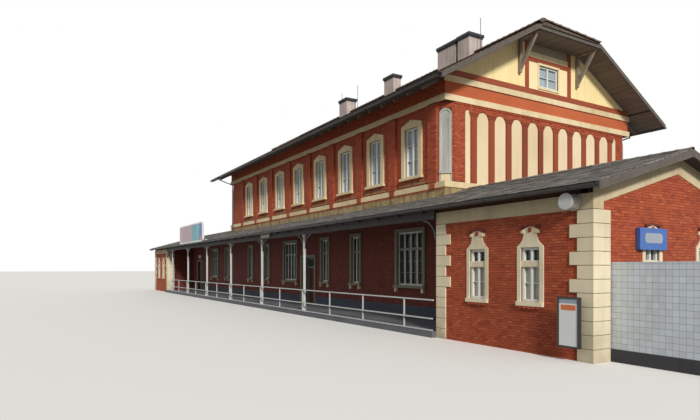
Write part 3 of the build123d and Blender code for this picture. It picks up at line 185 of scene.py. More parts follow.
class Graph(Tree):
    """A material's node tree."""

    def __init__(self, name: str) -> None:
        """Starts an empty material."""
        self.material = bpy.data.materials.new(name)
        self.material.use_nodes = True
        super().__init__(self.material.node_tree)

    def mix(self, share: Wire | float, first: Wire | Colour, second: Wire | Colour) -> Wire:
        """Mixes two colours by a share of the second one."""
        return self.node("ShaderNodeMix", {"data_type": "RGBA", "clamp_factor": True},
                         {0: share, 6: first, 7: second}, 2)

    def place(self) -> Wire:
        """Gives the point's own coordinates on the object."""
        return self.node("ShaderNodeTexCoord", output=3)

    def axes(self) -> tuple[Wire, Wire, Wire]:
        """Gives the three coordinates of the point on the object."""
        place = self.place()
        return tuple(self.node("ShaderNodeSeparateXYZ", sockets={0: place}, output=i) for i in range(3))

    def mask_wings(self, plan: Plan) -> Wire:
        """1 on the pavilions, outside the two-storey block and the links."""
        x, _, _ = self.axes()
        edge = plan.pier
        return (x > plan.right_pavilion - edge) + (x < plan.left_pavilion + edge)

    def facing(self, axis: int) -> Wire:
        """Gives one part of the surface's direction."""
        normal = self.node("ShaderNodeNewGeometry", output=1)
        return self.node("ShaderNodeSeparateXYZ", sockets={0: normal}, output=axis)

    def tone(self) -> Wire:
        """Gives the random tone that each repeated block carries."""
        return self.node("ShaderNodeAttribute", {"attribute_name": "tone"}, output=2)

    def noise(self, scale: Sequence[float] | float, detail: float = 3.0, seed: float = 0.0) -> Wire:
        """Makes noise.

        Args:
            scale: Waves per metre, one number or one for each axis.
            detail: Layers of finer noise.
            seed: Shift that keeps two noises apart.

        Returns:
            The noise, from 0 to 1.
        """
        three = (scale, scale, scale) if isinstance(scale, (int, float)) else tuple(scale)
        moved = self.node("ShaderNodeMapping", sockets={0: self.place(), 1: (seed, seed, seed), 3: three})
        return self.node("ShaderNodeTexNoise", sockets={"Vector": moved, "Scale": 1.0, "Detail": detail})

    def ramp(self, value: Wire, *stops: tuple[float, Colour]) -> Wire:
        """Turns a value into a colour through a ramp."""
        return self.node("ShaderNodeValToRGB", {"stops": stops}, {0: value})

    def finish(self, colour: Wire | Colour, roughness: Wire | float, height: Wire | None = None,
               depth: float = 0.001, **constants: float | Colour) -> bpy.types.Material:
        """Ends the tree in a shader.

        Args:
            colour: Base colour.
            roughness: Roughness.
            height: Height of the surface from 0 to 1, for a bump.
            depth: Real height in metres that 0 to 1 stands for.
            **constants: Values for other sockets, with underscores for blanks.

        Returns:
            The finished material.
        """
        sockets = {"Base Color": colour, "Roughness": roughness}
        sockets.update({key.replace("_", " "): value for key, value in constants.items()})
        if height is not None:
            sockets["Normal"] = self.node("ShaderNodeBump", sockets={"Strength": 1.0, "Distance": depth,
                                                                     "Height": height})
        shader = self.node("ShaderNodeBsdfPrincipled", sockets=sockets)
        self.node("ShaderNodeOutputMaterial", sockets={0: shader})
        return self.material


# Finishes


class Grain(Enum):
    """The axis that a board's grain runs along."""

    ALONG = 0
    ACROSS = 1
    UPRIGHT = 2


@dataclass(frozen=True)
class Mineral:
    """A matt render, stone or concrete surface with patches, streaks and grime."""

    name: str
    light: Colour
    dark: Colour
    patches: float = 1.3
    streaks: float = 0.35
    grime: float = 0.0
    roughness: float = 0.86
    relief: float = 0.002
    soil: Colour = tint(84, 74, 58)
    soil_height: float = 0.6

    def make(self) -> bpy.types.Material:
        """Builds the material."""
        g = Graph(self.name)
        patch = g.noise(self.patches, detail=5.0).spread(0.35, 0.7)
        streak = g.noise((9.0, 9.0, 0.7), detail=4.0, seed=3.0).spread(0.45, 0.75) * self.streaks
        fine = g.noise(70.0, detail=3.0, seed=7.0)
        share = patch * 0.55 + streak + (fine - 0.5) * 0.35
        colour = g.mix(share, self.light, self.dark)
        _, _, z = g.axes()
        splash = g.noise(2.4, detail=4.0, seed=5.0).spread(0.3, 0.7)
        foot = (1 - z.spread(0.0, self.soil_height)) * splash * self.grime
        colour = self.paint(g, g.mix(foot, colour, self.soil))
        return g.finish(colour, self.roughness + (fine - 0.5) * 0.15, fine + patch * 0.4, self.relief)

    def paint(self, g: Graph, colour: Wire) -> Wire:
        """Leaves the colour as it is; a kind of render may be painted in part."""
        return colour


@dataclass(frozen=True)
class CanopyMineral(Mineral):
    """Render that is painted grey-green on the wall under the canopy."""

    painted: Colour = tint(112, 116, 102)
    canopy_top: float = 2.4
    cover: float = 0.85

    def paint(self, g: Graph, colour: Wire) -> Wire:
        """Paints what lies under the canopy."""
        _, y, z = g.axes()
        return g.mix((y < 0.0) * (z < self.canopy_top) * self.cover, colour, self.painted)


@dataclass(frozen=True)
class Brickwork:
    """Fired brick with a tone for each brick, soot and weathering."""

    name: str
    pale: Colour = tint(190, 98, 58)
    middle: Colour = tint(172, 78, 44)
    burnt: Colour = tint(142, 58, 34)
    soot: Colour = tint(74, 30, 22)
    sooted: float = 0.22

    def make(self) -> bpy.types.Material:
        """Builds the material."""
        g = Graph(self.name)
        body = g.ramp(g.tone(), (0.0, self.burnt), (0.3, self.middle), (0.75, self.middle), (1.0, self.pale))
        weather = g.noise((0.9, 0.9, 0.6), detail=5.0).spread(0.4, 0.72) * self.sooted
        colour = g.mix(weather, body, self.soot)
        speckle = g.noise(95.0, detail=3.0, seed=2.0)
        colour = g.mix(speckle.spread(0.3, 0.75) * 0.35, colour, self.burnt)
        return g.finish(colour, 0.82 + (speckle - 0.5) * 0.2, speckle, 0.0016)


@dataclass(frozen=True)
class Masonry:
    """The walls behind the bricks: joints outside, smooth terracotta band, plaster inside."""

    name: str
    joints: Colour = tint(88, 50, 34)
    dark_joints: Colour = tint(64, 36, 26)
    band: Colour = tint(190, 100, 60)
    worn_band: Colour = tint(166, 80, 46)
    plaster: Colour = tint(205, 198, 182)
    old_plaster: Colour = tint(168, 158, 140)
    depth_share: float = 0.9
    ceiling_gap: float = 0.12

    def make(self, plan: Plan) -> bpy.types.Material:
        """Builds the material.

        Args:
            plan: The building's shared places.

        Returns:
            The material.
        """
        g = Graph(self.name)
        x, y, z = g.axes()
        fine = g.noise(60.0, detail=3.0)
        worn = g.noise(1.1, detail=4.0, seed=4.0)
        joints = g.mix(fine.spread(0.3, 0.7), self.joints, self.dark_joints)
        smooth = g.mix(worn.spread(0.35, 0.7) * 0.6, self.band, self.worn_band)
        outside = g.mix(z.between(plan.lower_band[1], plan.upper_band[0]), joints, smooth)
        wall = plan.wall * self.depth_share
        edge = plan.pier * self.depth_share
        in_block = (abs(x) < plan.half_length - wall) * (abs(y) < plan.half_depth - wall)
        wing_front = plan.facade_y + plan.wing_wall * self.depth_share
        wing_deep = y.between(wing_front, plan.wing_back_y - edge)
        in_wing = wing_deep * x.between(plan.left_end + edge, plan.right_end - edge)
        bay_deep = y.between(plan.colonnade_y + edge, plan.facade_y + plan.wing_wall)
        bays = x.between(plan.right_pavilion + edge, plan.right_end - edge)
        bays = bays + x.between(plan.left_end + edge, plan.left_pavilion - edge)
        ceiling = plan.low_wall_z - self.ceiling_gap
        inside = in_block + (in_wing + bay_deep * bays) * (z < ceiling)
        colour = g.mix(inside, outside, g.mix(worn * 0.4, self.plaster, self.old_plaster))
        return g.finish(colour, 0.9, fine, 0.0015)


@dataclass(frozen=True)
class Timber:
    """Painted or weathered wood with grain along one axis."""

    name: str
    light: Colour
    dark: Colour
    grain: Grain = Grain.UPRIGHT
    wear: float = 0.4
    roughness: float = 0.7
    relief: float = 0.0012

    def make(self) -> bpy.types.Material:
        """Builds the material."""
        g = Graph(self.name)
        fibre = g.noise(self.drawn_out(46.0, 2.2), detail=4.0)
        stain = g.noise(self.drawn_out(8.0, 0.5), detail=4.0, seed=6.0).spread(0.42, 0.72)
        share = fibre.spread(0.35, 0.75) * 0.45 + stain * self.wear + (g.tone() - 0.5) * 0.25
        colour = self.paint(g, g.mix(share, self.light, self.dark))
        return g.finish(colour, self.roughness + (fibre - 0.5) * 0.25, fibre, self.relief)

    def drawn_out(self, across: float, along: float) -> list[float]:
        """Gives the waves per metre across the grain and along it, by axis."""
        return [along if axis == self.grain.value else across for axis in range(3)]

    def paint(self, g: Graph, colour: Wire) -> Wire:
        """Leaves the colour as it is; a kind of board may paint over it."""
        return colour


@dataclass(frozen=True)
class GableBoards(Timber):
    """Yellow boards, paler between the posts, grey high between the posts as painted shade of the half-hip,
    and cream along the rakes.
    """

    pale: Colour = tint(246, 228, 188)
    shaded: Colour = tint(128, 118, 102)
    post_place: float = 0.7
    pale_top: float = 5.9
    rake_x: float = 6.47
    pale_cover: float = 0.65
    shade_cover: float = 0.85
    rake_cover: float = 0.6

    def paint(self, g: Graph, colour: Wire) -> Wire:
        """Paints the pale field, the painted shade of the half-hip and the cream rakes over the boards' own
        colour.
        """
        x, y, z = g.axes()
        middle = abs(y) < self.post_place
        colour = g.mix(middle * self.pale_cover, colour, self.pale)
        # Painted shade: between the posts and above pale_top the boards turn grey, as if shaded by the
        # half-hip.
        colour = g.mix(middle * (z > self.pale_top) * self.shade_cover, colour, self.shaded)
        return g.mix((abs(x) > self.rake_x) * self.rake_cover, colour, self.pale)


@dataclass(frozen=True)
class Covering:
    """Slates or tiles, each with its own tone, with lichen and painted shade on the underside."""

    name: str
    pale: Colour
    middle: Colour
    dark: Colour
    lichen: Colour = tint(150, 140, 100)
    # Dark colour for faces that look down: painted shade.
    under: Colour = tint(48, 38, 32)

    def make(self) -> bpy.types.Material:
        """Builds the material."""
        g = Graph(self.name)
        body = g.ramp(g.tone(), (0.0, self.dark), (0.4, self.middle), (0.8, self.middle), (1.0, self.pale))
        cloud = g.noise(1.1, detail=5.0, seed=2.0).spread(0.35, 0.75)
        colour = g.mix(cloud * 0.4, body, self.dark)
        spots = g.noise(24.0, detail=4.0, seed=9.0).spread(0.58, 0.72)
        colour = g.mix(spots * 0.35, colour, self.lichen)
        grit = g.noise(120.0, detail=3.0, seed=4.0)
        # Painted shade: faces that look downwards take the dark under colour.
        colour = g.mix(g.facing(2) < -0.3, colour, self.under)
        return g.finish(colour, 0.78 + (grit - 0.5) * 0.2, grit + cloud, 0.0015)


@dataclass(frozen=True)
class Coated:
    """Painted metal with faint dulling and chips of the ground coat."""

    name: str
    coat: Colour
    ground: Colour = tint(92, 70, 56)
    dull: Colour = tint(70, 70, 68)
    chips: float = 0.25
    roughness: float = 0.42
    metallic: float = 0.0

    def make(self) -> bpy.types.Material:
        """Builds the material."""
        g = Graph(self.name)
        cloud = g.noise(6.0, detail=5.0)
        chip = g.noise(38.0, detail=5.0, seed=8.0).spread(0.66, 0.72) * self.chips
        dulled = g.mix(cloud.spread(0.3, 0.8) * 0.22, self.coat, self.dull)
        colour = g.mix(chip, dulled, self.ground)
        rough = self.roughness + (cloud - 0.5) * 0.25 + chip * 0.4
        return g.finish(colour, rough, g.noise(130.0, detail=2.0), 0.0003, Metallic=self.metallic)


@dataclass(frozen=True)
class Glazing:
    """Window glass with old waviness and a painted pale reflection of the sky; the ground-floor panes carry
    painted shade and the top lights of the pavilions are dark.
    """

    name: str
    # Pale blue body: a painted reflection of the sky, darker in streaks where the old glass waves.
    body: Colour = tint(184, 204, 216)
    ripple_reflection: Colour = tint(128, 150, 166)
    lace: Colour = tint(196, 198, 192)
    # Darker body of the ground-floor panes: painted shade.
    shaded: Colour = tint(96, 104, 102)
    top: Colour = tint(48, 72, 74)
    cover: float = 0.74
    clearer: float = 0.3

    def make(self, plan: Plan) -> bpy.types.Material:
        """Builds the material.

        Args:
            plan: The building's shared places.

        Returns:
            The material.
        """
        g = Graph(self.name)
        _, _, z = g.axes()
        kind = Opening.WING.value
        wing = g.mask_wings(plan)
        low = z < plan.storey_top
        top = wing * z.between(plan.wing_transom[1], kind.sill + kind.height)
        wave = g.noise((5.0, 5.0, 1.6), detail=2.0)
        # Painted sky reflection, darker in streaks where the glass waves.
        colour = g.mix(wave.spread(0.3, 0.7) * 0.5, self.body, self.ripple_reflection)
        # Painted shade: ground-floor panes take the darker shaded colour, and pavilion panes take lace below
        # the transom.
        colour = g.mix(low, colour, g.mix(wing, self.shaded, self.lace))
        colour = g.mix(top, colour, self.top)
        cover = self.cover - low * (1.0 - wing) * self.clearer
        return g.finish(colour, 0.05 + wave * 0.05, wave, 0.004, Alpha=cover)


@dataclass(frozen=True)
class Netting:
    """Thin white curtain cloth with a weave."""

    name: str
    colour: Colour = tint(222, 224, 220)
    fold: Colour = tint(188, 190, 188)
    threads: float = 2400.0

    def make(self) -> bpy.types.Material:
        """Builds the material."""
        g = Graph(self.name)
        x, y, z = g.axes()
        threads = g.maths("SINE", (x + y) * self.threads) * g.maths("SINE", z * self.threads)
        soft = g.noise(5.0, detail=3.0)
        colour = g.mix(soft.spread(0.3, 0.8) * 0.3, self.colour, self.fold)
        return g.finish(colour, 0.9, threads * 0.5 + 0.5, 0.0004)


@dataclass(frozen=True)
class Lacquer:
    """Smooth enamel or printed plastic of a sign, a little dusty."""

    name: str
    colour: Colour
    glow: float = 0.0
    roughness: float = 0.3
    variation: float = 0.0
    film: Colour = tint(150, 146, 136)

    def make(self) -> bpy.types.Material:
        """Builds the material."""
        g = Graph(self.name)
        dust = g.noise((3.0, 3.0, 1.2), detail=4.0).spread(0.4, 0.8)
        colour = g.mix(dust * 0.22 + g.tone() * self.variation, self.paint(g), self.film)
        return g.finish(colour, self.roughness + dust * 0.25, g.noise(45.0, detail=2.0), 0.0003,
                        Emission_Color=self.colour, Emission_Strength=self.glow)

    def paint(self, g: Graph) -> Wire | Colour:
        """Gives the sign's own colour; a kind of sign may have more than one."""
        return self.colour


@dataclass(frozen=True)
class BoxPaint(Lacquer):
    """Paint of the small signs: blue on the end wall, the plain colour elsewhere."""

    blue: Colour = tint(34, 96, 178)
    blue_from: float = 10.0

    def paint(self, g: Graph) -> Wire | Colour:
        """Paints the box on the end wall blue."""
        x, _, _ = g.axes()
        return g.mix(x > self.blue_from, self.colour, self.blue)


class Finishes:
    """Every finish of the building, made once and kept by name."""

    def __init__(self, plan: Plan) -> None:
        """Builds all the materials."""
        self.brick = Brickwork("fired_brick").make()
        # Darker brick for the walls under the canopy: their dark paint together with painted shade of the
        # canopy; the crown hoods use it too.
        self.shade_brick = Brickwork(
            "paint_and_shade_brick", tint(136, 60, 42), tint(110, 44, 32), tint(84, 32, 24)).make()
        self.strip_brick = Brickwork(
            "strip_brick", tint(172, 84, 48), tint(150, 68, 38), tint(118, 50, 28)).make()
        self.masonry = Masonry("brick_joints").make(plan)
        render = (tint(232, 214, 176), tint(190, 166, 122))
        self.cream = Mineral("cream_render", *render, streaks=0.3).make()
        self.surround = CanopyMineral("window_render", *render, streaks=0.3).make()
        self.blotched = Mineral("blotched_render", tint(176, 156, 112), tint(92, 68, 44), 6.0, 0.7).make()
        self.quoin = Mineral("quoin_stone", tint(230, 219, 190), tint(196, 183, 152), 2.0, 0.25, 0.6).make()
        self.eave_band = Mineral("eave_band", tint(206, 192, 158), tint(168, 152, 118), 2.0, 0.3, 0.4).make()
        self.panel = Mineral("panel_render", tint(230, 212, 179), tint(206, 182, 142), 0.9, 0.25).make()
        self.niche = Mineral("niche_render", tint(176, 176, 170), tint(132, 132, 128), 1.6, 0.4).make()
        self.plinth = Mineral("dark_plinth", tint(62, 62, 66), tint(38, 38, 42), 1.5, 0.3).make()
        self.concrete = Mineral("veranda_concrete", tint(104, 106, 112), tint(70, 72, 80), 1.2, 0.1).make()
        self.chimney = Mineral("chimney_render", tint(194, 182, 176), tint(146, 134, 128), 2.4, 0.45).make()
        self.footing = Mineral("veranda_footing", tint(74, 82, 94), tint(48, 54, 64), 1.4, 0.3).make()
        self.niche_line = Mineral("niche_lines", tint(214, 212, 204), tint(176, 174, 166), 3.0).make()
        self.floor = Timber("floor_boards", tint(140, 112, 82), tint(88, 66, 46), Grain.ALONG).make()
        self.yellow = GableBoards("yellow_boards", tint(250, 230, 172), tint(222, 194, 130), wear=0.4).make()
        self.pale_boards = Timber("pale_boards", tint(238, 224, 184), tint(196, 170, 122), wear=0.3).make()
        self.russet = Timber("russet_timber", tint(152, 72, 40), tint(106, 46, 26), Grain.ACROSS, 0.3).make()
        self.grey_timber = Timber("weathered_timber", tint(150, 138, 124), tint(92, 82, 72)).make()
        self.soffit = Timber("soffit_boards", tint(118, 107, 99), tint(76, 67, 61), Grain.ALONG, 0.5).make()
        self.verge = Timber("verge_paint", tint(92, 85, 79), tint(56, 51, 48), Grain.ALONG, 0.4).make()
        self.eave_boards = Timber("canopy_boards", tint(50, 45, 41), tint(30, 27, 25), Grain.ACROSS).make()
        self.joinery = Timber("white_joinery", tint(226, 226, 218), tint(192, 190, 180), wear=0.2,
                              roughness=0.45, relief=0.0005).make()
        self.grey_joinery = Timber("grey_joinery", tint(128, 134, 130), tint(96, 102, 100), wear=0.3,
                                   roughness=0.5, relief=0.0005).make()
        self.door = Timber("door_timber", tint(112, 62, 42), tint(70, 36, 24), wear=0.3,
                           roughness=0.45).make()
        self.slates = Covering("grey_slates", tint(152, 148, 144), tint(120, 116, 112),
                               tint(82, 79, 76)).make()
        self.tiles = Covering("roof_tiles", tint(142, 122, 106), tint(112, 92, 78), tint(76, 62, 54)).make()
        self.white_tile = Lacquer("glazed_tiles", tint(206, 216, 226), roughness=0.16, variation=0.2).make()
        self.grout = Mineral("tile_grout", tint(120, 122, 120), tint(84, 86, 86), 3.0, 0.3).make()
        self.dark_metal = Coated("dark_metal", tint(40, 38, 38)).make()
        self.grey_metal = Coated("grey_paint", tint(196, 200, 198), chips=0.35).make()
        self.steel = Coated("handle_steel", tint(176, 176, 172), chips=0.0, roughness=0.3,
                            metallic=0.9).make()
        self.glass = Glazing("window_glass").make(plan)
        self.curtain = Netting("net_curtain").make()
        self.lamp = Lacquer("lamp_face", tint(250, 244, 226), 0.8).make()
        self.drum = Lacquer("drum_shell", tint(186, 182, 180), roughness=0.45).make()
        self.sign_white = Lacquer("sign_white", tint(224, 228, 228)).make()
        self.sign_rose = Lacquer("sign_rose", tint(178, 150, 152)).make()
        self.sign_teal = Lacquer("sign_teal", tint(76, 168, 178)).make()
        self.sign_blue = Lacquer("sign_blue", tint(34, 96, 178)).make()
        self.sign_orange = Lacquer("sign_orange", tint(214, 106, 44)).make()
        self.sign_yellow = Lacquer("sign_yellow", tint(198, 178, 62)).make()
        self.sign_sand = Lacquer("sign_sand", tint(150, 144, 112)).make()
        self.sign_grey = Lacquer("sign_grey", tint(150, 160, 176)).make()
        self.sign_green = Lacquer("sign_green", tint(36, 66, 58)).make()
        self.sign_boxes = BoxPaint("sign_boxes", tint(150, 144, 112),
                                   blue_from=plan.right_end - plan.pier).make()


# Places shared by all parts


@dataclass(frozen=True)
class Light:
    """Size of one kind of window opening, from its sill."""

    width: float
    sill: float
    height: float
    uprights: int = 1


class Opening(Enum):
    """The kinds of window."""

    UPPER = Light(0.475, 3.085, 1.045)
    GROUND = Light(0.375, 0.775, 1.15)
    WIDE = Light(0.9, 0.775, 1.15, 3)
    WING = Light(0.32, 0.69, 0.74)
    ATTIC = Light(0.625, 5.16, 0.48)


@dataclass(frozen=True)
class Front:
    """A wall face, by the point at its foot that its own places count from and its turn."""

    x: float
    y: float
    turn: float

    def matrix(self) -> Matrix:
        """Gives the move from the face's own places to the building's."""
        return Matrix.Translation((self.x, self.y, 0)) @ Matrix.Rotation(math.radians(self.turn), 4, "Z")

    def point(self, u: float, y: float, z: float) -> tuple[float, float, float]:
        """Gives a point of the face in the building's places."""
        return tuple(self.matrix() @ Vector((u, y, z)))

    def upright_turn(self) -> tuple[float, float, float]:
        """Gives the turn that lays a turned piece against the face."""
        return (math.radians(90), 0.0, math.radians(self.turn))


@dataclass(frozen=True)
class Plan:
    """Places and sizes that the whole dressing shares, in metres of the model."""

    half_length: float = 6.45
    half_depth: float = 3.0
    wall: float = 0.25
    storey_top: float = 2.75
    belt_top: float = 2.865
    lower_band: Span = (4.465, 4.585)
    upper_band: Span = (4.84, 4.96)
    tie_top: float = 5.08
    chamfer: float = 0.225
    ridge_z: float = 6.75
    eave_z: float = 4.71
    overhang: float = 0.6
    hip_eave_z: float = 6.175
    hip_run: float = 0.73
    roof_thickness: float = 0.09
    window_pitch: float = 1.4
    first_window: float = 5.395
    window_count: int = 8
    pilaster_width: float = 0.27
    pilaster_proud: float = 0.045
    reveal: float = 0.02
    frame_depth: float = 0.045
    frame_side: float = 0.032
    mullion: float = 0.03
    transom_share: float = 0.68
    wing_transom: Span = (1.1625, 1.2475)
    ogee_proud: float = 0.015
    colonnade: float = 1.255
    low_pitch: float = 0.29
    low_wall_z: float = 2.565
    low_eave: float = 1.425
    low_ridge: float = 0.6
    low_thickness: float = 0.06
    low_verge: float = 0.175
    right_link: float = 1.24
    left_link: float = 5.7
    pavilion: float = 2.9
    wing_wall: float = 0.175
    wing_proud: float = 0.025
    band_z: float = 1.865
    floor_top: float = 0.1
    panel_pitch: float = 0.5
    panel_width: float = 0.31
    panel_top: float = 4.335
    panel_count: int = 9
    end_panel: Span = (2.41, 0.13)
    post_pitch: float = 2.75
    post_count: int = 6
    ground_windows: tuple[tuple[float, Opening], ...] = (
        (5.325, Opening.WIDE), (3.1, Opening.GROUND), (1.48, Opening.GROUND), (-0.8, Opening.WIDE),
        (-2.7, Opening.GROUND), (-4.25, Opening.GROUND))
    link_windows: tuple[tuple[float, Opening], ...] = ((-6.95, Opening.GROUND), (-8.625, Opening.WIDE))
    hall_door: Span = (0.45, 0.8)
    wing_door: Span = (-11.0, 0.7)
    door_height: float = 1.35
    wing_insets: Span = (0.935, 1.935)
    end_windows: Span = (-3.0, -1.7)

    @property
    def facade_y(self) -> float:
        """Line of the platform facade."""
        return -self.half_depth

    @property
    def colonnade_y(self) -> float:
        """Line of the canopy's posts and the pavilions' faces."""
        return self.facade_y - self.colonnade

    @property
    def pier(self) -> float:
        """Thickness of a pavilion's corner."""
        return self.wing_wall + self.wing_proud

    @property
    def low_ridge_y(self) -> float:
        """Line of the low roofs' ridge."""
        return self.facade_y + self.low_ridge

    @property
    def low_eave_y(self) -> float:
        """Line of the canopy's eave."""
        return self.facade_y - self.low_eave

    @property
    def low_back_y(self) -> float:
        """Line of the wings' eave to the street."""
        return 2 * self.low_ridge_y - self.low_eave_y

    @property
    def wing_back_y(self) -> float:
        """Line of the wings' back piers."""
        return 2 * self.low_ridge_y - self.colonnade_y

    @property
    def right_pavilion(self) -> float:
        """Start of the right pavilion."""
        return self.half_length + self.right_link

    @property
    def left_pavilion(self) -> float:
        """Start of the left pavilion."""
        return -self.half_length - self.left_link

    @property
    def right_end(self) -> float:
        """Right end of the wings."""
        return self.right_pavilion + self.pavilion

    @property
    def left_end(self) -> float:
        """Left end of the wings."""
        return self.left_pavilion - self.pavilion

    @property
    def roof_pitch(self) -> float:
        """Rise of the main roof over its run."""
        return (self.ridge_z - self.eave_z) / (self.half_depth + self.overhang)

    @property
    def upper_windows(self) -> list[float]:
        """Places of the upper windows along the facade."""
        return [self.first_window - i * self.window_pitch for i in range(self.window_count)]

    @property
    def bay_edges(self) -> list[float]:
        """Places of the pilasters along the facade."""
        half = self.window_pitch / 2
        return [x - half for x in self.upper_windows] + [self.first_window + half]

    @property
    def street_door(self) -> float:
        """Place of the closed street door."""
        return self.upper_windows[3]

    @property
    def posts(self) -> list[float]:
        """Places of the canopy's posts."""
        return [self.post_pitch - i * self.post_pitch for i in range(self.post_count)]

    def low_roof(self, y: float) -> float:
        """Height of the low roofs' top surface over a line along the building."""
        return self.low_wall_z + self.low_pitch * self.low_ridge - self.low_pitch * abs(y - self.low_ridge_y)

    def main_roof(self, y: float) -> float:
        """Height of the main roof's top surface over a line along the building."""
        return self.ridge_z - self.roof_pitch * abs(y)

    def platform(self) -> Front:
        """The platform face of the two-storey block."""
        return Front(0.0, self.facade_y, 0.0)

    def street(self) -> Front:
        """The street face of the two-storey block."""
        return Front(0.0, self.half_depth, 180.0)

    def gable(self, side: int) -> Front:
        """The right gable for 1 or the left one for -1."""
        return Front(side * self.half_length, 0.0, side * 90.0)

    def corners(self) -> list[Front]:
        """The four cut corners of the upper storey."""
        inset = self.chamfer / 2
        return [Front(sx * (self.half_length - inset), sy * (self.half_depth - inset), turn)
                for sx, sy, turn in ((1, -1, 45.0), (1, 1, 135.0), (-1, 1, 225.0), (-1, -1, -45.0))]

    def wing_face(self, side: int, way: str) -> Front:
        """One face of a wing: front, end or back."""
        if way == "front":
            return Front(0.0, self.colonnade_y + self.wing_proud, 0.0)
        if way == "back":
            return Front(0.0, self.wing_back_y - self.wing_proud, 180.0)
        end = self.right_end if side > 0 else self.left_end
        return Front(end - side * self.wing_proud, 0.0, side * 90.0)

    def windows(self) -> list[tuple[Front, float, Opening]]:
        """Every window as its face, its place along that face and its kind."""
        found: list[tuple[Front, float, Opening]] = []
        for x in self.upper_windows:
            found.append((self.platform(), x, Opening.UPPER))
            found.append((self.street(), -x, Opening.UPPER))
            if x != self.street_door:
                found.append((self.street(), -x, Opening.GROUND))
        found += [(self.platform(), x, kind) for x, kind in self.ground_windows + self.link_windows]
        for side in (1, -1):
            start = self.right_pavilion if side > 0 else self.left_pavilion
            for inset in self.wing_insets:
                x = start + side * inset
                found.append((self.wing_face(side, "front"), x, Opening.WING))
                found.append((self.wing_face(side, "back"), -x, Opening.WING))
            for y in self.end_windows:
                found.append((self.wing_face(side, "end"), side * y, Opening.WING))
            found.append((self.gable(side), 0.0, Opening.ATTIC))
        return found


# Repeated shapes


class Growth(Tree):
    """A Geometry Nodes tree with named inputs, whose result is turned into a plain mesh."""

    def __init__(self, name: str, inputs: dict[str, str]) -> None:
        """Starts the tree.

        Args:
            name: Name of the tree.
            inputs: Type of each named input.
        """
        super().__init__(bpy.data.node_groups.new(name, "GeometryNodeTree"))
        face = self.tree.interface
        face.new_socket(name="Geometry", in_out="OUTPUT", socket_type="NodeSocketGeometry")
        face.new_socket(name="Geometry", in_out="INPUT", socket_type="NodeSocketGeometry")
        self.keys = {}
        for label, kind in {**inputs, "Seed": "NodeSocketInt", "Material": "NodeSocketMaterial"}.items():
            self.keys[label] = face.new_socket(name=label, in_out="INPUT", socket_type=kind).identifier
        self.source = self.tree.nodes.new("NodeGroupInput")
        self.target = self.tree.nodes.new("NodeGroupOutput")

    def given(self, label: str) -> Wire:
        """Gives the value of a named input."""
        return Wire(self, self.source.outputs[label])

    def chance(self, low: float, high: float, shift: int) -> Wire:
        """Makes a random value for each element, with a fixed shift of the seed."""
        seed = self.given("Seed") + float(shift)
        return self.node("FunctionNodeRandomValue", {"data_type": "FLOAT"}, {2: low, 3: high, 8: seed}, 1)

    def attribute(self, label: str) -> Wire:
        """Reads a vector that each point carries."""
        return self.node("GeometryNodeInputNamedAttribute", {"data_type": "FLOAT_VECTOR"}, {"Name": label})

    def vector(self, x: Wire | float = 0.0, y: Wire | float = 0.0, z: Wire | float = 0.0) -> Wire:
        """Joins three values into a vector."""
        return self.node("ShaderNodeCombineXYZ", sockets={0: x, 1: y, 2: z})

    def plant(self, instance: Wire, turn: Wire | None = None, points: Wire | None = None) -> None:
        """Puts a shape on every point, at the point's own size and at a turn.

        Args:
            instance: The shape.
            turn: The turn, or nothing for none.
            points: The points, or nothing for the given ones.
        """
        sockets = {"Points": points or self.given("Geometry"), "Instance": instance,
                   "Scale": self.attribute("size")}
        if turn:
            sockets["Rotation"] = turn
        self.end(self.node("GeometryNodeInstanceOnPoints", sockets=sockets))

    def end(self, instances: Wire) -> None:
        """Gives each instance its tone, realizes them and sets their material."""
        toned = self.node("GeometryNodeStoreNamedAttribute", {"data_type": "FLOAT", "domain": "INSTANCE"},
                          {"Geometry": instances, "Name": "tone", "Value": self.chance(0.0, 1.0, 11)})
        real = self.node("GeometryNodeRealizeInstances", sockets={"Geometry": toned})
        done = self.node("GeometryNodeSetMaterial",
                         sockets={"Geometry": real, "Material": self.given("Material")})
        self.tree.links.new(done.socket, self.target.inputs[0])

    def grow(self, name: str, carrier: bpy.types.Mesh, matrix: Matrix, values: dict) -> bpy.types.Object:
        """Runs the tree on a mesh of points.

        Args:
            name: Name of the new piece.
            carrier: The mesh of points.
            matrix: Move from the points' places to the building's.
            values: Value of each named input.

        Returns:
            The piece as a plain mesh at the origin.
        """
        holder = bpy.data.objects.new(name + "_points", carrier)
        bpy.context.scene.collection.objects.link(holder)
        modifier = holder.modifiers.new("growth", "NODES")
        modifier.node_group = self.tree
        for label, value in values.items():
            modifier[self.keys[label]] = value
        bpy.context.view_layer.update()
        graph = bpy.context.evaluated_depsgraph_get()
        mesh = bpy.data.meshes.new_from_object(holder.evaluated_get(graph), preserve_all_data_layers=True,
                                               depsgraph=graph)
        holder.modifiers.remove(modifier)
        bpy.data.objects.remove(holder)
        mesh.name = name
        mesh.transform(matrix)
        return bpy.data.objects.new(name, mesh)


@dataclass(frozen=True)
class Block:
    """One straight block, by its middle and its size in a face's own places."""

    middle: tuple[float, float, float]
    size: tuple[float, float, float]


def slab(u0: float, u1: float, y0: float, y1: float, z0: float, z1: float) -> Block:
    """A block between two corners of a face's own places."""
    return Block(((u0 + u1) / 2, (y0 + y1) / 2, (z0 + z1) / 2), (abs(u1 - u0), abs(y1 - y0), abs(z1 - z0)))


def stud(u: float, width: float, proud: float, low: float, high: float) -> Block:
    """A block that stands out from a face, by its middle along the face."""
    return slab(u - width / 2, u + width / 2, -proud, 0.0, low, high)


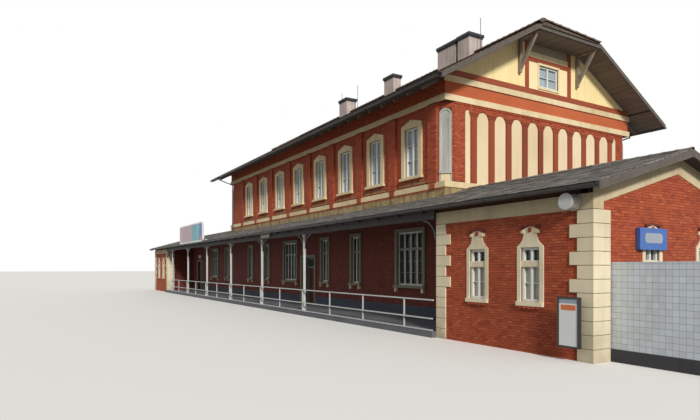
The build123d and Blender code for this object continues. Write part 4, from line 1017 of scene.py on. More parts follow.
class Yard:
    """Where all the pieces are made: the shared trees, and the pieces' way into the scene."""

    def __init__(self, plan: Plan, finishes: Finishes) -> None:
        """Keeps the plan and the finishes, and builds the shared trees."""
        self.plan = plan
        self.finishes = finishes
        self.blocks = self._block_tree()
        self.covering = self._covering_tree()
        self.copies = self._copy_tree()
        self.pleats = self._pleat_tree()

    @staticmethod
    def _block_tree() -> Growth:
        """Tree that puts a straight block of the point's own size on each point."""
        g = Growth("straight_blocks", {"Wander": "NodeSocketFloat"})
        shift = g.vector(y=g.chance(-1.0, 1.0, 3) * g.given("Wander"))
        points = g.node("GeometryNodeSetPosition", sockets={"Geometry": g.given("Geometry"), "Offset": shift})
        g.plant(g.node("GeometryNodeMeshCube", sockets={"Size": (1.0, 1.0, 1.0)}), points=points)
        return g

    @staticmethod
    def _covering_tree() -> Growth:
        """Tree that lays a tilted tile on each point of a slope."""
        g = Growth("laid_tiles", {"Tile Length": "NodeSocketFloat", "Thickness": "NodeSocketFloat",
                                  "Tilt": "NodeSocketFloat", "Wander": "NodeSocketFloat"})
        cube = g.node("GeometryNodeMeshCube", sockets={
            "Size": g.vector(1.0, g.given("Tile Length"), g.given("Thickness"))})
        loose = g.chance(-1.0, 1.0, 5) * g.given("Wander")
        skew = g.chance(-1.0, 1.0, 7) * g.given("Wander")
        g.plant(cube, g.vector(g.given("Tilt") + loose, 0.0, skew))
        return g

    @staticmethod
    def _copy_tree() -> Growth:
        """Tree that puts a copy of a given piece on each point, at the point's own turn."""
        g = Growth("copies", {"Piece": "NodeSocketObject"})
        copy = g.node("GeometryNodeObjectInfo",
                      sockets={"Object": g.given("Piece"), "As Instance": True}, output=4)
        g.plant(copy, g.attribute("turn"))
        return g

    @staticmethod
    def _pleat_tree() -> Growth:
        """Tree that hangs a pleated net on each point, at the point's own turn and size."""
        g = Growth("pleated_nets", {"Folds": "NodeSocketFloat", "Depth": "NodeSocketFloat",
                                    "Columns": "NodeSocketInt"})
        grid = g.node("GeometryNodeMeshGrid", sockets={0: 1.0, 1: 1.0, 2: g.given("Columns"), 3: 9})
        place = g.node("GeometryNodeInputPosition")
        across, down = (g.node("ShaderNodeSeparateXYZ", sockets={0: place}, output=i) for i in (0, 1))
        wave = g.maths("SINE", across * g.given("Folds") * (2 * math.pi))
        hung = g.vector(across, wave * g.given("Depth"), down)
        net = g.node("GeometryNodeSetPosition", sockets={"Geometry": grid, "Position": hung})
        g.plant(g.node("GeometryNodeSetShadeSmooth", sockets={"Geometry": net}), g.attribute("turn"))
        return g

    def show(self, piece: bpy.types.Object, slot: str, body: str = MAIN_BODY) -> bpy.types.Object:
        """Puts a finished piece into the scene.

        Args:
            piece: The piece, at the origin.
            slot: Not used.
            body: The body that it rides on.

        Returns:
            The piece.
        """
        bpy.context.scene.collection.objects.link(piece)
        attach(piece, body)
        LOG.info("%s: %d faces", piece.name, len(piece.data.polygons))
        return piece

    @staticmethod
    def points(name: str, places: Sequence[Sequence[float]],
               **vectors: Sequence[Sequence[float]]) -> bpy.types.Mesh:
        """Makes a mesh of points that carry vectors.

        Args:
            name: Name of the mesh.
            places: The points.
            **vectors: One vector for each point, by attribute.

        Returns:
            The mesh.
        """
        mesh = bpy.data.meshes.new(name)
        mesh.from_pydata([tuple(p) for p in places], [], [])
        for label, values in vectors.items():
            layer = mesh.attributes.new(label, "FLOAT_VECTOR", "POINT")
            layer.data.foreach_set("vector", [c for value in values for c in value])
        return mesh

    def stack(self, name: str, parts: Sequence[tuple[Front, Sequence[Block]]], material: bpy.types.Material,
              slot: str, wander: float = 0.0, body: str = MAIN_BODY) -> bpy.types.Object:
        """Makes one piece of straight blocks on any number of faces.

        Args:
            name: Name of the piece.
            parts: Each face with its blocks.
            material: The finish.
            slot: Name of a finish slot, handed on to show.
            wander: How far a block stands in or out at random.
            body: The body that it rides on.

        Returns:
            The piece.
        """
        meshes = []
        for number, (front, blocks) in enumerate(parts):
            if not blocks:
                continue
            carrier = self.points(name, [b.middle for b in blocks], size=[b.size for b in blocks])
            meshes.append(self.blocks.grow(f"{name}_{number}", carrier, front.matrix(), {
                "Wander": wander, "Seed": number * SEED_STEP + len(name), "Material": material}))
        return self.show(self.join(name, meshes), slot, body)

    @staticmethod
    def join(name: str, pieces: Sequence[bpy.types.Object]) -> bpy.types.Object:
        """Joins loose pieces into one mesh that keeps their tones and materials."""
        if len(pieces) > 1:
            for piece in pieces:
                bpy.context.scene.collection.objects.link(piece)
            chosen = list(pieces)
            with bpy.context.temp_override(active_object=pieces[0], object=pieces[0],
                                           selected_editable_objects=chosen, selected_objects=chosen):
                bpy.ops.object.join()
            bpy.context.scene.collection.objects.unlink(pieces[0])
        pieces[0].name = name
        pieces[0].data.name = name
        return pieces[0]

    def copy_out(self, name: str, model: bpy.types.Object, places: Sequence[Sequence[float]],
                 turns: Sequence[Sequence[float]], material: bpy.types.Material,
                 slot: str) -> bpy.types.Object:
        """Makes one piece of the building of copies of a model.

        Args:
            name: Name of the piece.
            model: The model, round the origin.
            places: Where each copy goes.
            turns: Turn of each copy in radians.
            material: The finish.
            slot: Name of a finish slot, handed on to show.

        Returns:
            The piece.
        """
        carrier = self.points(name, places, turn=turns, size=[(1.0, 1.0, 1.0)] * len(places))
        piece = self.copies.grow(name, carrier, Matrix.Identity(4), {
            "Piece": model, "Seed": len(name), "Material": material})
        bpy.data.objects.remove(model)
        return self.show(piece, slot)


def solid(name: str, vertices: Sequence[Sequence[float]], faces: Sequence[Sequence[int]],
          material: bpy.types.Material | None = None) -> bpy.types.Object:
    """Makes an object from corners and faces.

    Args:
        name: Name of the object.
        vertices: Its corners.
        faces: Its faces, as indices of corners.
        material: The finish.

    Returns:
        The object, not yet in the scene.
    """
    mesh = bpy.data.meshes.new(name)
    mesh.from_pydata([tuple(v) for v in vertices], [], [list(f) for f in faces])
    mesh.update()
    if material is not None:
        mesh.materials.append(material)
    return bpy.data.objects.new(name, mesh)


def prism(name: str, outline: Sequence[Span], depth: Span, matrix: Matrix,
          material: bpy.types.Material | None = None) -> bpy.types.Object:
    """Draws an outline in a face's own plane out to a solid.

    Args:
        name: Name of the object.
        outline: Points along the face and up, the way round that the hands of a clock don't go.
        depth: The two places out of the plane, the outer one first.
        matrix: Move from the face's own places to the building's.
        material: The finish.

    Returns:
        The object, not yet in the scene.
    """
    count = len(outline)
    vertices = [matrix @ Vector((u, depth[0], z)) for u, z in outline]
    vertices += [matrix @ Vector((u, depth[1], z)) for u, z in outline]
    faces = [list(range(count)), list(range(2 * count - 1, count - 1, -1))]
    faces += [[(i + 1) % count, i, i + count, (i + 1) % count + count] for i in range(count)]
    return solid(name, vertices, faces, material)


def box_outline(left: float, right: float, low: float, high: float) -> list[Span]:
    """Outline of a plate with square corners, against the clock."""
    return [(left, low), (right, low), (right, high), (left, high)]


def rounded(width: float, height: float, radius: float, steps: int = 6) -> list[Span]:
    """Outline of a plate with round corners, about its middle.

    Args:
        width: Width of the plate.
        height: Height of the plate.
        radius: Radius of the corners.
        steps: Parts of each corner's arc.

    Returns:
        The outline's points, against the clock.
    """
    points = []
    for number, (sx, sz) in enumerate(((1, -1), (1, 1), (-1, 1), (-1, -1))):
        for step in range(steps + 1):
            angle = math.radians(90 * (number - 1) + 90 * step / steps)
            points.append((sx * (width / 2 - radius) + radius * math.cos(angle),
                           sz * (height / 2 - radius) + radius * math.sin(angle)))
    return points


def turned(name: str, profile: Sequence[Span], parts: int = 20) -> bpy.types.Object:
    """Turns a profile of radius and height round the upright axis into a closed solid.

    Args:
        name: Name of the object.
        profile: Pairs of radius and height, from the foot to the top.
        parts: Parts of the circle.

    Returns:
        The object, not yet in the scene.
    """
    vertices = []
    for radius, height in profile:
        for part in range(parts):
            angle = 2 * math.pi * part / parts
            vertices.append((radius * math.cos(angle), radius * math.sin(angle), height))
    faces = [list(range(parts - 1, -1, -1)), [len(vertices) - parts + part for part in range(parts)]]
    for ring in range(len(profile) - 1):
        for part in range(parts):
            near = ring * parts + part
            next_one = ring * parts + (part + 1) % parts
            faces.append([near, next_one, next_one + parts, near + parts])
    return solid(name, vertices, faces)


# Brickwork


@dataclass(frozen=True)
class WallArea:
    """A stretch of brick wall on one face."""

    front: Front
    along: Span
    height: Span
    holes: tuple[tuple[float, float, float, float], ...] = ()
    limits: Callable[[float], Span] | None = None


@dataclass
class BrickSkin:
    """The outer bricks of every wall, laid in courses round the openings."""

    yard: Yard
    length: float = 0.09
    height: float = 0.0325
    joint: float = 0.005
    proud: float = 0.003
    bed: float = 0.006
    wander: float = 0.0007
    cover: float = 0.045
    least: float = 0.018
    niche: float = 0.124
    ogee_steps: tuple[Span, ...] = ((1.0, 0.5), (0.75, 2.0), (0.5, 5.0))
    panel_inset: float = 0.01
    pilaster_split: float = 0.28
    plinth_share: float = 0.6
    plinth_height: float = 1.5

    def lay(self, area: WallArea) -> list[Block]:
        """Lays the bricks of one stretch of wall.

        Args:
            area: The stretch of wall.

        Returns:
            The bricks, cut at the openings and the ends.
        """
        bricks = []
        pitch = self.height + self.joint
        row = math.ceil(area.height[0] / pitch)
        while row * pitch + self.height <= area.height[1] + self.joint:
            low = row * pitch
            high = low + self.height
            start, end = area.limits(high) if area.limits else area.along
            free = [(max(start, area.along[0]), min(end, area.along[1]))]
            for u0, u1, z0, z1 in area.holes:
                if high > z0 and low < z1:
                    cut = [part for a, b in free for part in ((a, min(b, u0)), (max(a, u1), b))]
                    free = [(a, b) for a, b in cut if b > a]
            for a, b in free:
                bricks += self._course(a, b, low, high, row)
            row += 1
        return bricks

    def _course(self, start: float, end: float, low: float, high: float, row: int) -> list[Block]:
        """Lays one run of bricks between two places."""
        run = []
        pitch = self.length + self.joint
        shift = (row % 2) * pitch / 2
        first = math.floor((start - shift) / pitch)
        last = math.ceil((end - shift) / pitch)
        for number in range(first, last + 1):
            a = max(start, number * pitch + shift)
            b = min(end, number * pitch + shift + self.length)
            if b - a > self.least:
                run.append(slab(a, b, -self.proud, self.bed - self.proud, low, high))
        return run

    def window_holes(self, front: Front) -> list[tuple[float, float, float, float]]:
        """Gives the stretches of a face that its windows take up."""
        holes = []
        for other, u, kind in self.yard.plan.windows():
            if other != front:
                continue
            light = kind.value
            top = light.sill + light.height
            half = light.width / 2 + self.cover
            sill = light.sill - self.cover
            if kind is Opening.WING:
                for share, rise in self.ogee_steps:
                    holes.append((u - half * share, u + half * share, sill, top + self.cover * rise))
            else:
                holes.append((u - half, u + half, sill, top + self.cover))
        return holes

    def door_hole(self, x: float, width: float) -> tuple[float, float, float, float]:
        """Gives the stretch that a doorway takes up."""
        half = width / 2 + self.cover
        plan = self.yard.plan
        return (x - half, x + half, 0.0, plan.floor_top + plan.door_height + self.cover)

    def block_areas(self) -> dict[str, list[WallArea]]:
        """Gives the brick stretches of the two-storey block, by piece."""
        plan = self.yard.plan
        platform = plan.platform()
        street = plan.street()
        straight = plan.half_length
        cut = plan.half_length - plan.chamfer
        holes = self.window_holes(platform) + [self.door_hole(*plan.hall_door)]
        soffit = plan.low_roof(plan.facade_y) - plan.low_thickness
        street_holes = self.window_holes(street) + [self.door_hole(-plan.street_door, plan.hall_door[1])]
        eave = plan.main_roof(plan.half_depth) - plan.roof_thickness
        upper = (plan.belt_top, plan.lower_band[0])
        frieze = (plan.lower_band[1], eave)
        return {
            "platform_bricks_ground": [WallArea(platform, (-straight, straight), (plan.floor_top, soffit),
                                                tuple(holes))],
            "platform_bricks_upper": [WallArea(platform, (-cut, cut), upper, tuple(holes)),
                                      WallArea(platform, (-straight, straight), frieze)],
            "street_bricks_ground": [WallArea(street, (-straight, straight), (0.0, plan.storey_top),
                                              tuple(street_holes))],
            "street_bricks_upper": [WallArea(street, (-cut, cut), upper, tuple(street_holes)),
                                    WallArea(street, (-straight, straight), frieze)],
        }

    def gable_areas(self, side: int) -> list[WallArea]:
        """Gives the brick stretches of one gable: above the wing's roof, and round the cream panels."""
        plan = self.yard.plan
        front = plan.gable(side)
        cut = plan.half_depth - plan.chamfer

        def clear_of_wing(z: float) -> Span:
            """The part of a course that the wing and its roof leave open."""
            back = plan.wing_back_y
            slope = plan.low_ridge_y + (plan.low_roof(plan.low_ridge_y) - z) / plan.low_pitch
            edge = min(back, slope) if z > plan.low_roof(back) else back
            return (edge, plan.half_depth) if side > 0 else (-plan.half_depth, -edge)

        last = (plan.panel_count - 1) / 2
        half = plan.panel_width / 2 - self.panel_inset
        spring = plan.panel_top - plan.panel_width / 2
        holes = []
        for i in range(plan.panel_count):
            u = (i - last) * plan.panel_pitch
            holes.append((u - half, u + half, plan.belt_top, spring))
            for share, top in ((0.8, plan.panel_top - half * 0.5), (0.4, plan.panel_top - self.panel_inset)):
                holes.append((u - half * share, u + half * share, spring, top))
        middle, width = plan.end_panel
        reach = width / 2 - self.panel_inset
        for u in (-middle, middle):
            holes.append((u - reach, u + reach, plan.belt_top, spring))
        whole = (-plan.half_depth, plan.half_depth)
        return [WallArea(front, whole, (0.0, plan.storey_top), (), clear_of_wing),
                WallArea(front, (-cut, cut), (plan.belt_top, plan.lower_band[0]), tuple(holes))]

    def wing_areas(self, side: int) -> tuple[list[WallArea], list[WallArea]]:
        """Gives the brick stretches of one wing.

        Args:
            side: 1 for the right wing, -1 for the left one.

        Returns:
            The stretches in the open air, and those that lie in the canopy's shade.
        """
        plan = self.yard.plan
        start = plan.right_pavilion if side > 0 else plan.left_pavilion
        end = plan.right_end if side > 0 else plan.left_end
        front = plan.wing_face(side, "front")
        back = plan.wing_face(side, "back")
        end_face = plan.wing_face(side, "end")
        platform = plan.platform()
        thin = plan.low_thickness

        def under_gable(z: float) -> Span:
            """The part of a course that lies under the low gable roof."""
            reach = (plan.low_roof(plan.low_ridge_y) - thin - z) / plan.low_pitch
            middle = side * plan.low_ridge_y
            return (middle - reach, middle + reach)

        core = sorted((start + side * plan.pier, end - side * plan.pier))
        depth = sorted((side * (plan.colonnade_y + plan.pier), side * (plan.wing_back_y - plan.pier)))
        link = sorted((side * plan.half_length, start + side * plan.wing_proud))
        back_run = sorted((-side * plan.half_length, -(end - side * plan.pier)))
        holes = self.window_holes(platform)
        if side < 0:
            holes.append(self.door_hole(*plan.wing_door))
        soffit = plan.low_roof(plan.facade_y) - thin
        inner = Front(start + side * plan.wing_proud, 0.0, -side * 90.0)
        inner_run = sorted((-side * (plan.colonnade_y + plan.pier), -side * plan.facade_y))
        ridge = plan.low_roof(plan.low_ridge_y)
        back_top = plan.low_roof(plan.wing_back_y) - thin
        inner_top = plan.low_roof(plan.colonnade_y) - thin
        open_air = [
            WallArea(front, tuple(core), (0.0, plan.band_z), tuple(self.window_holes(front))),
            WallArea(end_face, tuple(depth), (0.0, ridge), tuple(self.window_holes(end_face)), under_gable),
            WallArea(back, tuple(back_run), (0.0, back_top), tuple(self.window_holes(back)))]
        shaded = [WallArea(platform, tuple(link), (plan.floor_top, soffit), tuple(holes)),
                  WallArea(inner, tuple(inner_run), (plan.floor_top, inner_top))]
        return open_air, shaded

    def build(self) -> None:
        """Builds the skins of all walls, the pilasters' bricks and the corners' bricks."""
        finishes = self.yard.finishes
        groups = self.block_areas()
        groups["right_gable_bricks"] = self.gable_areas(1)
        groups["left_gable_bricks"] = self.gable_areas(-1)
        # The walls under the canopy take the darker brick, which carries painted shade of the canopy.
        painted = ["platform_bricks_ground"]
        for side, word in ((1, "right"), (-1, "left")):
            groups[f"{word}_wing_bricks"], groups[f"{word}_link_bricks"] = self.wing_areas(side)
            painted.append(f"{word}_link_bricks")
        for name, areas in groups.items():
            material = finishes.shade_brick if name in painted else finishes.brick
            skin = [(area.front, self.lay(area)) for area in areas]
            self.yard.stack(name, skin, material, "brick", self.wander)
        self.build_pilasters()
        self.build_corners()

    def build_corners(self) -> None:
        """Lays one brick a course on each side of the corner niches, and whole courses over them."""
        plan = self.yard.plan
        width = plan.chamfer / math.sqrt(2)
        pitch = self.height + self.joint
        blocks = []
        for row in range(math.ceil(plan.belt_top / pitch), int(plan.lower_band[0] / pitch)):
            low = row * pitch
            spans = [(-width, -self.niche), (self.niche, width)]
            if low > plan.panel_top:
                spans = [(-width, width)]
            blocks += [slab(a, b, -self.proud, self.bed - self.proud, low, low + self.height)
                       for a, b in spans]
        corners = [(front, blocks) for front in plan.corners()]
        self.yard.stack("corner_bricks", corners, self.yard.finishes.brick, "brick")

    def build_pilasters(self) -> None:
        """Wraps each pilaster in bricks that show at its front and its sides."""
        plan = self.yard.plan
        half = plan.pilaster_width / 2 + self.proud
        out = plan.pilaster_proud + self.proud
        blocks = []
        pitch = self.height + self.joint
        rows = int((plan.lower_band[0] - plan.belt_top) / pitch)
        for x in plan.bay_edges:
            for row in range(rows):
                low = plan.belt_top + row * pitch + self.joint
                split = x + half * (self.pilaster_split if row % 2 else -self.pilaster_split)
                blocks.append(slab(x - half, split - self.joint / 2, -out, 0.0, low, low + self.height))
                blocks.append(slab(split + self.joint / 2, x + half, -out, 0.0, low, low + self.height))
            for low in (plan.storey_top + self.bed, (plan.storey_top + plan.belt_top + self.joint) / 2):
                blocks.append(stud(x, 2 * half * self.plinth_share, out, low,
                                   low + self.height * self.plinth_height))
        mirrored = [Block((-b.middle[0], b.middle[1], b.middle[2]), b.size) for b in blocks]
        self.yard.stack("pilaster_bricks", [(plan.platform(), blocks), (plan.street(), mirrored)],
                        self.yard.finishes.brick, "brick")


@dataclass
class WallOrnament:
    """Dentils, friezes, corbels, crowns, niche lines and the dark footing on the walls."""

    yard: Yard
    dentil: float = 0.045
    dentil_gap: float = 0.035
    dentil_height: float = 0.042
    dentil_proud: float = 0.022
    frieze_width: float = 1.0
    frieze_height: float = 0.105
    frieze_lift: float = 0.02
    frieze_base: float = 0.02
    plate_proud: float = 0.007
    strip_proud: float = 0.012
    strip_tuck: float = 0.01
    cap_steps: int = 3
    cap_growth: tuple[float, float, float] = (0.018, 0.007, 0.04)
    cap_height: float = 0.034
    cap_proud: float = 0.02
    face_inset: float = 0.02
    face_proud: float = 0.022
    sill_depth: float = 0.055
    brick_corbel: tuple[float, float, float] = (0.056, 0.04, 0.035)
    brick_corbel_pitch: float = 0.075
    stone_corbel: tuple[float, float, float] = (0.07, 0.06, 0.09)
    stone_corbel_reach: float = 0.02
    disc_z: float = 1.662
    scroll_z: float = 1.64
    scroll_reach: float = 0.112
    hood_z: float = 1.714
    hood_brick: tuple[float, float, float] = (0.064, 0.03, 0.028)
    hood_pitch: float = 0.07
    hood_fall: float = 0.012
    niche_edge: float = 0.144
    niche_head: float = 0.035
    niche_bar_rise: float = 0.62
    niche_line: float = 0.018
    niche_bar: float = 0.014
    niche_stem: float = 0.012
    niche_bar_depth: Span = (0.004, 0.0155)
    niche_line_depth: Span = (-0.036, -0.026)
    boss_rise: float = 0.045
    boss_depth: float = 0.016
    apron_width: float = 0.17
    apron_depth: Span = (-0.034, -0.028)
    apron_lift: float = 0.01
    apron_drop: float = 0.06
    door_trim: float = 0.09
    footing_height: float = 0.25
    footing_proud: float = 0.009

    def build(self) -> None:
        """Builds the ornaments of all sides."""
        self.build_dentils()
        self.build_friezes()
        self.build_strip_caps()
        self.build_sill_corbels()
        self.build_crowns()
        self.build_niche_lines()
        self.build_footing()

    def dentils(self, start: float, end: float, top: float) -> list[Block]:
        """A row of dentils that hangs under a line."""
        pitch = self.dentil + self.dentil_gap
        count = int((end - start + self.dentil_gap) / pitch)
        first = (start + end) / 2 - (count * pitch - self.dentil_gap) / 2
        return [slab(first + i * pitch, first + i * pitch + self.dentil, -self.dentil_proud, 0.0,
                     top - self.dentil_height, top) for i in range(count)]

    def build_dentils(self) -> None:
        """Builds the dentils under the lower cream band of each side."""
        plan = self.yard.plan
        line = plan.lower_band[0]
        parts = []
        edges = sorted(plan.bay_edges)
        half = plan.pilaster_width / 2
        for front, sign in ((plan.platform(), 1), (plan.street(), -1)):
            row: list[Block] = []
            for left, right in zip(edges, edges[1:]):
                ends = sorted((sign * (left + half), sign * (right - half)))
                row += self.dentils(*ends, line)
            parts.append((front, row))
        reach = plan.half_depth - plan.chamfer
        parts += [(plan.gable(side), self.dentils(-reach, reach, line)) for side in (1, -1)]
        self.yard.stack("cornice_dentils", parts, self.yard.finishes.brick, "brick")

    def build_friezes(self) -> None:
        """Builds the pierced friezes under the upper sills, and the strip over the canopy."""
        plan = self.yard.plan
        low = plan.belt_top + self.frieze_lift
        high = low + self.frieze_height
        backs = []
        bars = []
        for front, sign in ((plan.platform(), 1), (plan.street(), -1)):
            plates: list[Block] = []
            row: list[Block] = []
            for x in plan.upper_windows:
                u = sign * x
                half = self.frieze_width / 2
                plates.append(stud(u, self.frieze_width, self.plate_proud, low, high))
                row += self.dentils(u - half, u + half, high)
                row.append(stud(u, self.frieze_width, self.dentil_proud, low, low + self.frieze_base))
            backs.append((front, plates))
            bars.append((front, row))
        foot = plan.low_roof(plan.facade_y) - self.strip_tuck
        strip = stud(0.0, 2 * plan.half_length, self.strip_proud, foot, plan.storey_top)
        backs.append((plan.platform(), [strip]))
        for side in (1, -1):
            ends = sorted((side * plan.facade_y, side * plan.low_ridge_y))
            backs.append((plan.gable(side), [slab(*ends, -self.strip_proud, 0.0, foot, plan.storey_top)]))
        bars.append((plan.platform(), self.dentils(-plan.half_length, plan.half_length, plan.storey_top)))
        self.yard.stack("frieze_grounds", backs, self.yard.finishes.blotched, "cream_render")
        self.yard.stack("frieze_bricks", bars, self.yard.finishes.brick, "brick")

    def build_strip_caps(self) -> None:
        """Builds the stepped brick caps of the strips between the gables' cream panels."""
        plan = self.yard.plan
        width = plan.panel_pitch - plan.panel_width
        foot = plan.panel_top - plan.panel_width / 2 + self.face_inset
        side_growth, front_growth, rise = self.cap_growth
        blocks = []
        for i in range(plan.panel_count + 1):
            u = (i - plan.panel_count / 2) * plan.panel_pitch
            for step in range(self.cap_steps):
                z = foot + step * rise
                blocks.append(stud(u, width + 2 * step * side_growth, self.cap_proud + step * front_growth,
                                   z, z + self.cap_height))
            blocks.append(stud(u, width - 2 * self.face_inset, self.face_proud, plan.belt_top, foot))
        self.yard.stack("gable_strip_bricks", [(plan.gable(side), blocks) for side in (1, -1)],
                        self.yard.finishes.strip_brick, "brick")

    def build_sill_corbels(self) -> None:
        """Builds the small corbels under the ground floor and pavilion sills."""
        bricks = []
        stones = []
        for front, u, kind in self.yard.plan.windows():
            light = kind.value
            foot = light.sill - self.sill_depth
            if kind is Opening.WING:
                width, proud, height = self.brick_corbel
                blocks = [stud(u + i * self.brick_corbel_pitch, width, proud, foot - height, foot)
                          for i in range(-2, 3)]
                bricks.append((front, blocks))
            if kind in (Opening.GROUND, Opening.WIDE):
                width, proud, height = self.stone_corbel
                reach = light.width / 2 + self.stone_corbel_reach
                blocks = [stud(u + s * reach, width, proud, foot - height, foot) for s in (-1, 1)]
                stones.append((front, blocks))
        self.yard.stack("sill_corbels_brick", bricks, self.yard.finishes.brick, "brick")
        self.yard.stack("sill_corbels_stone", stones, self.yard.finishes.cream, "cream_render")

    def build_crowns(self) -> None:
        """Builds the disc, the scroll ends and the dark bricks on the crown of each ogee surround."""
        plan = self.yard.plan
        f = self.yard.finishes
        width, proud, height = self.hood_brick
        rows = []
        discs = []
        scrolls = []
        turns = []
        for front, u, kind in plan.windows():
            if kind is not Opening.WING:
                continue
            turns.append(front.upright_turn())
            discs.append(front.point(u, -plan.ogee_proud, self.disc_z))
            scrolls += [front.point(u + s * self.scroll_reach, -plan.ogee_proud, self.scroll_z)
                        for s in (-1, 1)]
            hood = []
            for i in range(-2, 3):
                low = self.hood_z - self.hood_fall * abs(i)
                hood.append(stud(u + i * self.hood_pitch, width, proud, low, low + height))
            rows.append((front, hood))
        disc = turned("crown_disc", [(0.034, 0.0), (0.034, 0.008), (0.024, 0.014), (0.012, 0.014)], 14)
        self.yard.copy_out("crown_discs", disc, discs, turns, f.strip_brick, "brick")
        scroll = turned("crown_scroll", [(0.026, 0.0), (0.026, 0.01), (0.016, 0.018), (0.006, 0.018)], 12)
        doubled = [turn for turn in turns for _ in (0, 1)]
        self.yard.copy_out("crown_scrolls", scroll, scrolls, doubled, f.cream, "cream_render")
        self.yard.stack("crown_hoods", rows, f.shade_brick, "brick")

    def build_niche_lines(self) -> None:
        """Builds the pale lines, the cross bar and the round boss in the corner niches."""
        plan = self.yard.plan
        f = self.yard.finishes
        diagonal = plan.chamfer * math.sqrt(2)
        width = diagonal - self.niche_edge
        low = Opening.UPPER.value.sill
        top = plan.panel_top - diagonal / 2 + self.niche_head
        half_line = self.niche_line / 2
        half_stem = self.niche_stem / 2
        lines = [slab(s * width / 2 - half_line, s * width / 2 + half_line, *self.niche_line_depth, low, top)
                 for s in (-1, 1)]
        lines += [slab(-width / 2, width / 2, *self.niche_bar_depth, z, z + self.niche_bar)
                  for z in (low + self.niche_bar_rise, top)]
        lines.append(slab(-half_stem, half_stem, *self.niche_bar_depth, low, top))
        corners = [(front, lines) for front in plan.corners()]
        self.yard.stack("niche_lines", corners, f.niche_line, "cream_render")
        half_apron = self.apron_width / 2
        apron = [slab(-half_apron, half_apron, *self.apron_depth, plan.belt_top + self.apron_lift,
                      low - self.apron_drop)]
        self.yard.stack("niche_aprons", [(front, apron) for front in plan.corners()], f.cream, "cream_render")
        boss = turned("niche_boss", [(0.03, 0.0), (0.03, 0.01), (0.018, 0.016)], 12)
        places = [front.point(0.0, self.boss_depth, top + self.boss_rise) for front in plan.corners()]
        turns = [front.upright_turn() for front in plan.corners()]
        self.yard.copy_out("niche_bosses", boss, places, turns, f.niche_line, "cream_render")

    def build_footing(self) -> None:
        """Paints the foot of the wall under the canopy dark, clear of the doors."""
        plan = self.yard.plan
        doors = (plan.hall_door, plan.wing_door)
        gaps = sorted((x - width / 2 - self.door_trim, x + width / 2 + self.door_trim) for x, width in doors)
        starts = [plan.left_pavilion - plan.wing_proud] + [gap[1] for gap in gaps]
        ends = [gap[0] for gap in gaps] + [plan.right_pavilion + plan.wing_proud]
        top = plan.floor_top + self.footing_height
        band = [slab(a, b, -self.footing_proud, 0.0, plan.floor_top, top) for a, b in zip(starts, ends)]
        self.yard.stack("veranda_footing", [(plan.platform(), band)], self.yard.finishes.footing,
                        "dark_plinth")


# Roofs


@dataclass(frozen=True)
class Slope:
    """A roof slope, by its eave's middle, its turn, its pitch and its length up the slope."""

    x: float
    y: float
    z: float
    turn: float
    angle: float
    length: float
    limits: Callable[[float], Span]

    def matrix(self) -> Matrix:
        """Gives the move from the slope's own plane to the building's places."""
        turn = Matrix.Rotation(math.radians(self.turn), 4, "Z")
        return Matrix.Translation((self.x, self.y, self.z)) @ turn @ Matrix.Rotation(self.angle, 4, "X")


